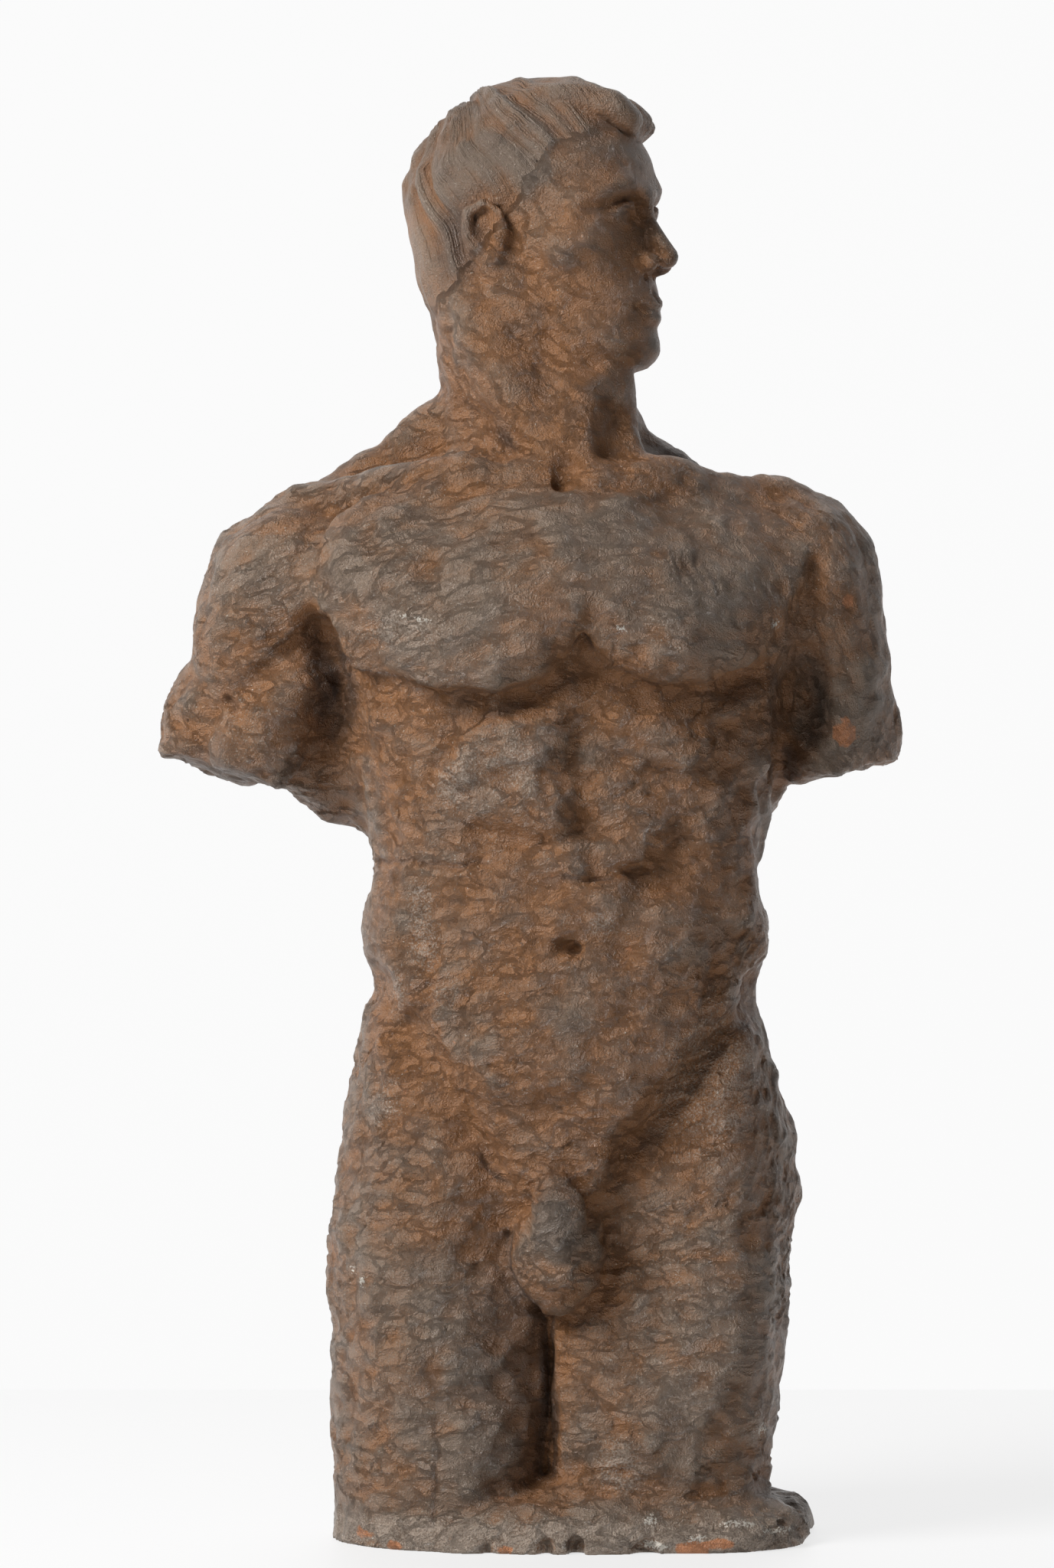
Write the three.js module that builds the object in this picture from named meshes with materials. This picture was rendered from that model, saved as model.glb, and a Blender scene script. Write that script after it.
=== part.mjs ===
// A nude man's torso with its head, modelled in clay and cast in one with the slab it stands on.
// The arms end above the elbows and the thighs at mid-length. The chest turns a little and the head looks to
// one side. Millimetres, +Z up, the front towards -Y, with the origin under the figure on its flat underside.
import * as THREE from "three";

// Driving dimensions
const HEIGHT = 800;
const CHEST_WIDTH = 242;
const WAIST_WIDTH = 204;
const HIP_WIDTH = 214;
const SLAB_THICKNESS = 13;
const HEAD_MIDDLE = HEIGHT - 76.5;

// How finely the surface is followed, and how many triangles are kept
const GRID_STEP = 5;
const TRIANGLES = 9800;
const LOW = [-235, -125, -7.5];
const HIGH = [215, 120, 812];
const CHIN = 640;
const HEAD_WEIGHT = 5;
const FAR = 60;
const REACH = 16;
const EDGE_MARGIN = 0.06;
const FLOOR_SNAP = 0.8;
const SHARPNESS = 1e-4;
const LENGTH_COST = 0.002;
const THIN = 0.02;
const TURN_LIMIT = 0.3;

// z, sway x, twist degrees
const TWIST = [
  [0, 0, 0], [190, 0, 0], [260, 1, 2], [340, 3, 4.5], [430, 3, 7], [500, -1, 8], [560, -6, 8], [620, -9, 8],
];
const HEAD_AT = [-8, 4, HEAD_MIDDLE];
const HEAD_TURN = 67;
const HEAD_SCALE = 1.05;

// z, centre x, centre y, half width, front, back, squareness
const TRUNK = [
  [140, 0, 2, 90, 50, 62, 2.2],
  [185, 0, 2, 100, 58, 72, 2.3],
  [215, 0, 2, HIP_WIDTH / 2 - 1, 65, 76, 2.4],
  [250, 0, 0, HIP_WIDTH / 2, 72, 70, 2.4],
  [285, 0, -2, 104, 75, 60, 2.4],
  [310, 0, -3, 101, 75, 55, 2.3],
  [335, 0, -4, WAIST_WIDTH / 2, 74, 53, 2.3],
  [365, 0, -3, 105, 75, 57, 2.3],
  [400, 0, -1, 112, 79, 64, 2.3],
  [440, 0, 1, 117, 84, 71, 2.4],
  [480, 0, 3, 120, 86, 77, 2.5],
  [515, 0, 4, CHEST_WIDTH / 2, 82, 78, 2.5],
  [545, 0, 6, 112, 70, 75, 2.4],
  [568, 0, 8, 94, 56, 68, 2.2],
  [588, 0, 8, 62, 42, 56, 2.0],
  [600, 0, 8, 40, 28, 46, 2.0],
];
const SKULL_AT = [0, 12, 17];
const SKULL = [47.5, 62, 51];
const SKULL_TURN = [-20, 0, 0];
const FRONT = -1;
const BACK = 1;

// Distance fields. A shape is { distance(x, y, z), low, high }, with distance negative inside.

function blendMin(a, b, width) {
  const h = Math.min(Math.max(0.5 + (0.5 * (b - a)) / width, 0), 1);
  return b + (a - b) * h - width * h * (1 - h);
}

function turnedAxes([aboutX, aboutY, aboutZ]) {
  const radians = THREE.MathUtils.degToRad;
  const euler = new THREE.Euler(radians(aboutX), radians(aboutY), radians(aboutZ), "ZYX");
  const matrix = new THREE.Matrix4().makeRotationFromEuler(euler);
  const axes = [new THREE.Vector3(), new THREE.Vector3(), new THREE.Vector3()];
  matrix.extractBasis(...axes);
  return axes.map((axis) => axis.toArray());
}

function ellipsoid(at, radii, turn = [0, 0, 0], axes = turnedAxes(turn)) {
  const [rx, ry, rz] = radii;
  const [[ax, ay, az], [bx, by, bz], [cx, cy, cz]] = axes;
  const reach = [0, 1, 2].map((i) => radii.reduce((sum, r, k) => sum + Math.abs(axes[k][i]) * r, 0));
  return {
    distance(x, y, z) {
      const dx = x - at[0];
      const dy = y - at[1];
      const dz = z - at[2];
      const u = (dx * ax + dy * ay + dz * az) / rx;
      const v = (dx * bx + dy * by + dz * bz) / ry;
      const w = (dx * cx + dy * cy + dz * cz) / rz;
      const k0 = Math.sqrt(u * u + v * v + w * w) + 1e-9;
      const k1 = Math.sqrt((u / rx) ** 2 + (v / ry) ** 2 + (w / rz) ** 2) + 1e-9;
      return (k0 * (k0 - 1)) / k1;
    },
    low: at.map((c, i) => c - reach[i]),
    high: at.map((c, i) => c + reach[i]),
  };
}

// A chain of round cones through the points.
function strand(points, radii) {
  const links = points.slice(1).map((b, i) => {
    const a = points[i];
    const along = b.map((v, k) => v - a[k]);
    return { a, along, square: along.reduce((sum, v) => sum + v * v, 0), from: radii[i], to: radii[i + 1] };
  });
  return {
    distance(x, y, z) {
      let best = Infinity;
      for (const { a, along, square, from, to } of links) {
        const dx = x - a[0];
        const dy = y - a[1];
        const dz = z - a[2];
        const t = Math.min(Math.max((dx * along[0] + dy * along[1] + dz * along[2]) / square, 0), 1);
        const gap = Math.hypot(dx - t * along[0], dy - t * along[1], dz - t * along[2]);
        best = Math.min(best, gap - (from + (to - from) * t));
      }
      return best;
    },
    low: [0, 1, 2].map((i) => Math.min(...points.map((p, k) => p[i] - radii[k]))),
    high: [0, 1, 2].map((i) => Math.max(...points.map((p, k) => p[i] + radii[k]))),
  };
}

// Values between rows at height z, on smooth curves through them; a row begins with its height.
function rowAt(rows, z) {
  const last = rows.length - 1;
  const height = Math.min(Math.max(z, rows[0][0]), rows[last][0]);
  let i = 0;
  while (i < last - 1 && height > rows[i + 1][0]) i += 1;
  const gap = rows[i + 1][0] - rows[i][0];
  const s = (height - rows[i][0]) / gap;
  const slope = (k, c) => {
    if (k === 0) return (rows[1][c] - rows[0][c]) / (rows[1][0] - rows[0][0]);
    if (k === last) return (rows[last][c] - rows[last - 1][c]) / (rows[last][0] - rows[last - 1][0]);
    const before = rows[k][0] - rows[k - 1][0];
    const after = rows[k + 1][0] - rows[k][0];
    const down = (rows[k][c] - rows[k - 1][c]) / before;
    const up = (rows[k + 1][c] - rows[k][c]) / after;
    return (down * after + up * before) / (before + after);
  };
  const values = [];
  for (let c = 1; c < rows[0].length; c += 1) {
    values.push(
      (2 * s ** 3 - 3 * s ** 2 + 1) * rows[i][c] + (s ** 3 - 2 * s ** 2 + s) * gap * slope(i, c) +
      (-2 * s ** 3 + 3 * s ** 2) * rows[i + 1][c] + (s ** 3 - s ** 2) * gap * slope(i + 1, c));
  }
  return values;
}

// Stacked rounded sections: rows of [z, centre x, centre y, half width, front, back, squareness].
function loft(rows) {
  const [bottom, top] = [rows[0][0], rows[rows.length - 1][0]];
  let lastZ = null;
  let lastRow = null;
  return {
    distance(x, y, z) {
      if (z !== lastZ) {
        lastRow = rowAt(rows, z);
        lastZ = z;
      }
      const [cx, cy, half, front, back, n] = lastRow;
      const dx = Math.abs(x - cx);
      const dy = Math.abs(y - cy);
      const depth = y < cy ? front : back;
      const ratio = ((dx / half) ** n + (dy / depth) ** n) ** (1 / n) + 1e-6;
      const side = Math.max((Math.hypot(dx, dy) + 1e-6) * (1 - 1 / ratio), -Math.min(half, depth));
      return Math.max(side, bottom - z, z - top);
    },
    low: [Math.min(...rows.map((r) => r[1] - r[3])), Math.min(...rows.map((r) => r[2] - r[4])), bottom],
    high: [Math.max(...rows.map((r) => r[1] + r[3])), Math.max(...rows.map((r) => r[2] + r[5])), top],
  };
}

// The part of a shape on the inner side of a plane.
function below(shape, point, normal, width) {
  const length = Math.hypot(...normal);
  const [nx, ny, nz] = normal.map((v) => v / length);
  const distance = (x, y, z) => {
    const over = (x - point[0]) * nx + (y - point[1]) * ny + (z - point[2]) * nz;
    return -blendMin(-shape.distance(x, y, z), -over, width);
  };
  return { ...shape, distance };
}

// Several shapes as one.
function joined(shapes, width) {
  return {
    distance: (x, y, z) => shapes.map((s) => s.distance(x, y, z)).reduce((a, b) => blendMin(a, b, width)),
    low: [0, 1, 2].map((i) => Math.min(...shapes.map((s) => s.low[i]))),
    high: [0, 1, 2].map((i) => Math.max(...shapes.map((s) => s.high[i]))),
  };
}

// The figure is built up in order: each step lays a shape on or cuts it away, with a soft join.
const steps = [];

function lay(space, shape, width) {
  steps.push({ space, shape, width, sign: 1 });
}

function cut(space, shape, width) {
  steps.push({ space, shape, width, sign: -1 });
}

// Places in the trunk are untwisted and unswayed; places in the head are its own, facing -Y from the eyes.
const INTO = {
  statue: (x, y, z) => [x, y, z],
  trunk(x, y, z) {
    const [sway, twist] = rowAt(TWIST, z);
    const a = -THREE.MathUtils.degToRad(twist);
    return [(x - sway) * Math.cos(a) - y * Math.sin(a), (x - sway) * Math.sin(a) + y * Math.cos(a), z];
  },
  head(x, y, z) {
    const a = THREE.MathUtils.degToRad(HEAD_TURN);
    const [dx, dy, dz] = [x - HEAD_AT[0], y - HEAD_AT[1], z - HEAD_AT[2]].map((v) => v / HEAD_SCALE);
    return [dx * Math.cos(a) + dy * Math.sin(a), -dx * Math.sin(a) + dy * Math.cos(a), dz];
  },
};

function statueField(x, y, z) {
  const local = { statue: INTO.statue(x, y, z), trunk: INTO.trunk(x, y, z), head: INTO.head(x, y, z) };
  let value = FAR;
  for (const { space, shape, width, sign } of steps) {
    const p = local[space];
    const reach = REACH + width;
    if (p.every((v, i) => v > shape.low[i] - reach && v < shape.high[i] + reach)) {
      value = sign * blendMin(sign * value, shape.distance(...p), width);
    }
  }
  return value;
}

// The point on the trunk's front or back at x and z, with the axes across it, out of it and up it.
function onTrunk(x, z, face) {
  const [cx, cy, half, front, back, n] = rowAt(TRUNK, z);
  const depth = face < 0 ? front : back;
  const y = cy + face * depth * (1 - Math.min(Math.abs(x - cx) / half, 0.97) ** n) ** (1 / n);
  const value = (px, py, pz) => {
    const [mx, my, width, ahead, behind, m] = rowAt(TRUNK, pz);
    const deep = face < 0 ? ahead : behind;
    return ((Math.abs(px - mx) / width) ** m + (Math.abs(py - my) / deep) ** m) ** (1 / m);
  };
  const e = 0.5;
  const out = new THREE.Vector3(
    value(x + e, y, z) - value(x - e, y, z),
    value(x, y + e, z) - value(x, y - e, z),
    value(x, y, z + e) - value(x, y, z - e)).normalize();
  const across = new THREE.Vector3(0, 0, 1).cross(out).normalize();
  const up = out.clone().cross(across);
  return { at: new THREE.Vector3(x, y, z), across, out, up };
}

// A muscle lying on the trunk: size is [half width, thickness, half height], lean turns it in its own plane.
function pad(x, z, face, size, lean = 0, lift = 0) {
  const { at, across, out, up } = onTrunk(x, z, face);
  const a = THREE.MathUtils.degToRad(lean);
  const wide = across.clone().multiplyScalar(Math.cos(a)).addScaledVector(up, Math.sin(a));
  const high = up.clone().multiplyScalar(Math.cos(a)).addScaledVector(across, -Math.sin(a));
  const axes = [wide, out, high].map((axis) => axis.toArray());
  return ellipsoid(at.addScaledVector(out, lift).toArray(), size, [0, 0, 0], axes);
}

// A strand that follows the trunk through [x, z] points.
function ridge(points, face, radii, lift = 0) {
  const places = points.map(([x, z]) => {
    const { at, out } = onTrunk(x, z, face);
    return at.addScaledVector(out, lift).toArray();
  });
  return strand(places, radii);
}

function mirrored(side, points) {
  return points.map(([x, y, z]) => [side * x, y, z]);
}

// A point over the skull: around is 0 at the forehead and 180 at the back, up is its elevation.
function onSkull(around, up, lift) {
  const a = THREE.MathUtils.degToRad(around);
  const e = THREE.MathUtils.degToRad(up);
  const r = SKULL.map((v) => v + lift);
  const [x, y, z] = [r[0] * Math.sin(a) * Math.cos(e), -r[1] * Math.cos(a) * Math.cos(e), r[2] * Math.sin(e)];
  const axes = turnedAxes(SKULL_TURN);
  return [0, 1, 2].map((i) => SKULL_AT[i] + x * axes[0][i] + y * axes[1][i] + z * axes[2][i]);
}

function trunk() {
  lay("trunk", loft(TRUNK), 1);
  // shoulder girdle behind the collar bones
  lay("trunk", ellipsoid([0, 16, 556], [126, 48, 28]), 16);
  backForms();
  sideForms();
  belly();
  chest();
}

function backForms() {
  for (const side of [-1, 1]) {
    // long muscles beside the spine
    lay(
      "trunk",
      ridge(
        [[side * 22, 236], [side * 24, 300], [side * 26, 380], [side * 34, 450]], BACK, [18, 21, 19, 14], -12,
      ),
      26,
    );
    // broad back muscle, from the loin up to the armpit
    lay(
      "trunk",
      ridge(
        [[side * 40, 330], [side * 74, 390], [side * 98, 440], [side * 110, 490]], BACK, [22, 34, 38, 30],
        -24,
      ),
      22,
    );
    // shoulder blade and its ridge
    lay("trunk", pad(side * 66, 510, BACK, [42, 13, 40], side * 14, 0), 20);
    lay("trunk", ridge([[side * 34, 524], [side * 66, 540], [side * 98, 548]], BACK, [7, 8, 9], 0), 14);
    lay("trunk", pad(side * 92, 484, BACK, [34, 14, 18], side * 28, 2), 16);
    // buttock
    lay("trunk", ellipsoid([side * 50, 48, 204], [52, 42, 50], [10, 0, 0]), 14);
    lay("trunk", ellipsoid([side * 84, 24, 216], [32, 42, 42]), 20);
    cut("trunk", ellipsoid([side * 104, 40, 212], [12, 22, 26]), 22);
  }
  cut("trunk", ridge([[0, 250], [0, 320], [0, 420], [0, 516]], BACK, [3, 5, 5, 3], 7), 20);
  cut("trunk", strand([[0, 92, 150], [0, 98, 190], [0, 84, 228]], [5, 5, 3]), 9);
  lay("trunk", ridge([[0, 530], [0, 580]], BACK, [12, 14], -2), 20);
}

function sideForms() {
  for (const side of [-1, 1]) {
    // saw-toothed muscle over the ribs
    for (const [z, x] of [[462, 104], [440, 101], [418, 96], [397, 90]]) {
      lay("trunk", ridge([[side * (x - 20), z - 9], [side * (x + 3), z + 6]], FRONT, [7, 11], -4), 9);
    }
    // outer belly muscle, rolling over the hip
    lay("trunk", pad(side * 76, 350, FRONT, [24, 9, 44], side * 6, -1), 18);
    lay("trunk", ellipsoid([side * 84, -8, 330], [26, 48, 28]), 20);
    // hip bone
    lay("trunk", pad(side * 90, 288, FRONT, [10, 6, 18], side * 28, 1), 10);
  }
  // the edge of the broad back muscle, seen from the front under each arm
  lay("trunk", ellipsoid([-109, 30, 440], [29, 36, 51], [0, 20, 0]), 18);
  lay("trunk", ellipsoid([104, 30, 446], [26, 38, 50], [0, -10, 0]), 18);
}

function belly() {
  lay("trunk", ellipsoid([0, -38, 252], [74, 44, 74]), 30);
  // end of the breast bone and the rib arch
  for (const side of [-1, 1]) {
    lay(
      "trunk",
      ridge(
        [[side * 8, 458], [side * 36, 446], [side * 60, 418], [side * 76, 384]], FRONT, [8, 11, 12, 9], -7,
      ),
      14,
    );
  }
  // straight belly muscle, in blocks that the sculptor left uneven: x, z, half width, thickness, half height
  const blocks = [
    [-38, 437, 27, 10, 20], [-21, 402, 20, 11, 21], [-46, 402, 15, 9, 12],
    [-44, 364, 13, 10, 11], [-22, 368, 14, 8, 9], [-30, 346, 19, 8, 12],
    [
      20, 443, 14, 8, 12,
    ], [40, 436, 17, 9, 15], [58, 432, 11, 7, 11], [22, 404, 17, 7, 17], [43, 400, 14, 6, 16],
    [31, 381, 18, 6, 9], [8, 372, 13, 6, 11], [13, 350, 15, 12, 13], [41, 337, 14, 10, 14],
  ];
  for (const [x, z, half, thick, height] of blocks) {
    lay("trunk", pad(x, z, FRONT, [half, thick, height]), 8);
  }
  // knobs of the outer belly muscle
  const knobs = [
    [-66, 413, 12, 11], [-77, 396, 13, 14], [-83, 352, 7, 13], [-80, 326, 12, 16], [-94, 337, 7, 8],
    [66, 402, 14, 18], [24, 377, 9, 7],
  ];
  for (const [x, z, half, height] of knobs) {
    lay("trunk", pad(x, z, FRONT, [half, 7, height], 0, 1), 6);
  }
  // rolls over the hips: short and broken at the viewer's left, one long slanting roll at the right
  lay("trunk", ridge([[-66, 290], [-78, 309]], FRONT, [5, 6], -2), 14);
  lay("trunk", ridge([[42, 312], [64, 322], [84, 340]], FRONT, [8, 10, 9], -4), 14);
  for (const side of [-1, 1]) {
    lay("trunk", pad(side * 30, 300, FRONT, [34, 7, 40], side * 4, -1), 20);
    // groin furrow
    cut(
      "trunk",
      ridge(
        [[side * 102, 300], [side * 80, 270], [side * 54, 236], [side * 28, 204]], FRONT, [2, 5, 6, 5], 6,
      ),
      22,
    );
  }
  // furrow down the middle, then the navel in its pad
  cut("trunk", ridge([[2, 462], [4, 448], [-1, 422], [-2, 384]], FRONT, [3, 3, 3, 3], 12), 13);
  lay("trunk", ridge([[-6, 372], [-8, 346]], FRONT, [9, 8], 0), 10);
  lay("trunk", pad(-6, 327, FRONT, [14, 7, 12]), 6);
  cut("trunk", ellipsoid([-6, -89, 326], [8, 6, 6]), 4);
  cut("trunk", ellipsoid([-2, -85, 325], [4, 5, 3]), 2);
}

function chest() {
  for (const side of [-1, 1]) {
    // breast muscle: the full lower part, the flatter upper part, and its run to the arm
    lay("trunk", pad(side * 58, 536, FRONT, [68, 15, 46], side * 8, -2), 26);
    lay("trunk", ellipsoid([side * 102, -42, 514], [40, 28, 38], [0, 0, side * 24]), 24);
  }
  // the breast bone's flat upper part
  lay("trunk", pad(0, 530, FRONT, [42, 13, 46]), 24);
  // the rounded lower part of each breast: x, z, half width, thickness, half height
  const breasts = [
    [-62, 500, 53, 22, 40], [-56, 483, 40, 20, 23], [54, 503, 50, 22, 38], [42, 488, 33, 19, 23],
  ];
  for (const [x, z, half, thick, height] of breasts) {
    lay("trunk", pad(x, z, FRONT, [half, thick, height], 0, 1), 10);
  }
  // the shallow groove between the breasts, and the fold under each
  cut("trunk", ridge([[0, 506], [-1, 488], [-2, 466]], FRONT, [2, 4, 4], 8), 12);
  cut(
    "trunk", ridge([[-118, 474], [-94, 460], [-62, 453], [-28, 460], [-8, 472]], FRONT, [3, 4, 5, 4, 3], 7),
    10,
  );
  cut("trunk", ridge([[8, 474], [36, 459], [66, 460], [100, 474]], FRONT, [3, 4, 4, 3], 7), 10);
}

function shoulders() {
  // neck muscle down to the shoulder, steeper on the side that the head leaves
  lay(
    "statue", strand([[-30, 30, 655], [-55, 32, 621], [-90, 28, 588], [-138, 18, 556]], [15, 17, 18, 16]), 22,
  );
  lay("statue", strand([[12, 34, 640], [34, 32, 598], [68, 26, 570], [114, 20, 554]], [18, 18, 18, 18]), 22);
  // collar bones
  lay(
    "statue", strand([[-8, -52, 574], [-50, -47, 581], [-96, -27, 575], [-138, -2, 568]], [9, 10, 10, 10]),
    14,
  );
  lay("statue", strand([[14, -48, 574], [50, -38, 580], [86, -17, 573], [120, 4, 568]], [9, 10, 10, 10]), 14);
}

function arms() {
  // the figure's right arm, at the viewer's left: three heads of the shoulder, then the upper arm
  lay("statue", ellipsoid([-148, 2, 520], [47, 44, 49], [0, 14, 0]), 18);
  lay("statue", ellipsoid([-152, -26, 518], [30, 24, 42], [0, 10, 0]), 12);
  lay("statue", ellipsoid([-150, 28, 518], [32, 24, 40], [0, 12, 0]), 12);
  const rightArm = joined([
    ellipsoid([-164, -6, 486], [38, 38, 46], [0, 6, 0]),
    strand([[-147, -22, 468], [-165, -20, 430]], [25, 25]),
    ellipsoid([-184, 16, 450], [35, 36, 50], [0, 24, 0]),
    ellipsoid([-138, 6, 440], [24, 32, 40]),
  ], 8);
  lay("statue", below(rightArm, [-180, 0, 417], [-0.32, -0.1, -1], 3), 12);
  // hollows under the shoulder's edge, beside the breast, and between the arm and the ribs
  cut("statue", strand([[-131, -48, 491], [-150, -50, 481], [-178, -38, 457]], [5, 4, 4]), 10);
  cut("statue", ellipsoid([-127, -52, 488], [9, 18, 16]), 12);
  cut("statue", strand([[-121, -50, 478], [-121, -42, 425]], [6, 7]), 10);
  // the figure's left arm
  lay("statue", ellipsoid([130, 12, 526], [46, 42, 48], [0, -14, 0]), 18);
  lay("statue", ellipsoid([136, -16, 520], [30, 24, 42], [0, -10, 0]), 12);
  lay("statue", ellipsoid([132, 36, 518], [30, 24, 40], [0, -12, 0]), 12);
  const leftArm = joined([
    ellipsoid([147, 8, 488], [35, 38, 50], [0, -4, 0]),
    ellipsoid([146, 4, 446], [28, 32, 40]),
    ellipsoid([157, 24, 449], [31, 36, 46], [0, -18, 0]),
  ], 9);
  lay("statue", below(leftArm, [160, 0, 420], [0.2, 0, -1], 3), 12);
  cut("statue", strand([[140, -40, 532], [135, -46, 510], [124, -54, 490]], [2, 4, 4]), 10);
  cut("statue", ellipsoid([132, -38, 454], [15, 27, 33]), 8);
}

// side, then z, centre x, centre y, half width, front, back, squareness
const THIGHS = [
  [-1, [
    [0, -62, 0, 60, 58, 58, 2.3], [40, -62, 0, 61, 62, 60, 2.3], [95, -62, 0, 62, 65, 63, 2.2],
    [150, -65, 2, 62, 66, 68, 2.2], [200, -63, 4, 58, 62, 70, 2.2], [240, -59, 6, 46, 54, 60, 2.1],
    [280, -56, 6, 22, 30, 34, 2.0],
  ]],
  [1, [
    [0, 57, 0, 57, 58, 58, 2.3], [40, 58, 0, 58, 62, 60, 2.3], [95, 62, 0, 61, 65, 63, 2.2],
    [150, 65, 2, 62, 66, 68, 2.2], [200, 69, 4, 61, 62, 70, 2.2], [240, 66, 6, 50, 54, 60, 2.1],
    [280, 62, 6, 24, 30, 34, 2.0],
  ]],
];

function thighs() {
  for (const [side, rows] of THIGHS) {
    lay("statue", loft(rows), 16);
  }
  // hips
  lay("statue", ellipsoid([-83, 4, 254], [25, 48, 56], [0, 6, 0]), 20);
  lay("statue", ellipsoid([92, -8, 232], [27, 54, 60], [0, -8, 0]), 20);
  // front muscle and the outer mass of each thigh, then the inner thigh
  lay("statue", ellipsoid([-72, -40, 150], [32, 30, 92], [-3, 5, 0]), 20);
  lay("statue", ellipsoid([78, -40, 154], [34, 30, 92], [-3, -5, 0]), 20);
  lay("statue", ellipsoid([-50, -38, 66], [26, 26, 50], [0, -6, 0]), 16);
  lay("statue", ellipsoid([44, -40, 70], [26, 26, 50], [0, 6, 0]), 16);
  lay("statue", ellipsoid([-33, -20, 128], [25, 34, 66], [0, -4, 0]), 16);
  lay("statue", ellipsoid([32, -26, 128], [25, 36, 66], [0, 4, 0]), 16);
  // the thighs meet, the figure's left one in front, along a narrow gap
  lay("statue", ellipsoid([16, -34, 84], [22, 30, 74]), 14);
  cut("statue", ellipsoid([-5, -56, 84], [2.5, 20, 44]), 5);
  // crease under each buttock
  for (const side of [-1, 1]) {
    cut("statue", strand([[side * 22, 76, 158], [side * 56, 84, 154], [side * 92, 72, 164]], [4, 5, 3]), 14);
  }
}

function genitals() {
  lay("statue", ellipsoid([0, -58, 203], [30, 16, 22]), 16);
  lay("statue", ellipsoid([0, -62, 161], [27, 25, 34]), 5);
  lay("statue", ellipsoid([-2, -80, 180], [15.5, 15, 25]), 3);
}

function neck() {
  lay(
    "statue",
    loft(
      [
        [556, -4, 16, 60, 50, 50, 2.1], [600, -8, 14, 53, 48, 46, 2.1], [640, -12, 10, 47, 44, 44, 2.1],
        [670, -18, 10, 45, 40, 44, 2.1], [690, -25, 10, 45, 34, 42, 2.0], [712, -28, 12, 36, 26, 34, 2.0],
      ],
    ),
    14,
  );
  lay(
    "statue", strand([[-52, -14, 694], [-38, -28, 650], [-20, -36, 614], [-2, -44, 584]], [12, 15, 13, 8]),
    16,
  );
  lay("statue", strand([[26, -14, 652], [30, -20, 620], [33, -26, 594]], [12, 12, 12]), 12);
  lay("statue", strand([[8, -28, 652], [13, -35, 622], [8, -42, 592]], [13, 12, 9]), 16);
  // from behind the ear down the side of the neck, and the hollow under the jaw
  lay("statue", strand([[-54, 0, 712], [-45, 2, 672], [-42, 4, 640]], [21, 19, 18]), 20);
  cut("statue", strand([[-42, -46, 684], [-14, -52, 657], [16, -44, 646]], [4, 6, 5]), 14);
  // the notch between the collar bones
  cut("statue", strand([[2, -58, 596], [4, -60, 584], [2, -64, 573]], [2, 5, 3]), 7);
}

// z, centre x, centre y, half width, front, back, squareness
const FACE = [
  [-76, 0, -46, 11, 9, 12, 2.0], [-70, 0, -38, 21, 21, 24, 2.0], [-60, 0, -28, 30, 31, 32, 2.0],
  [-48, 0, -20, 36, 40, 34, 2.1], [-33, 0, -14, 40, 45, 36, 2.1], [-15, 0, -12, 43, 44, 38, 2.2],
  [0, 0, -10, 44, 44, 42, 2.3], [12, 0, -6, 45, 51, 46, 2.3], [28, 0, 0, 45, 57, 52, 2.2],
  [45, 0, 4, 42, 50, 50, 2.1], [58, 0, 6, 34, 38, 42, 2.0], [68, 0, 6, 18, 20, 26, 2.0],
];

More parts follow.
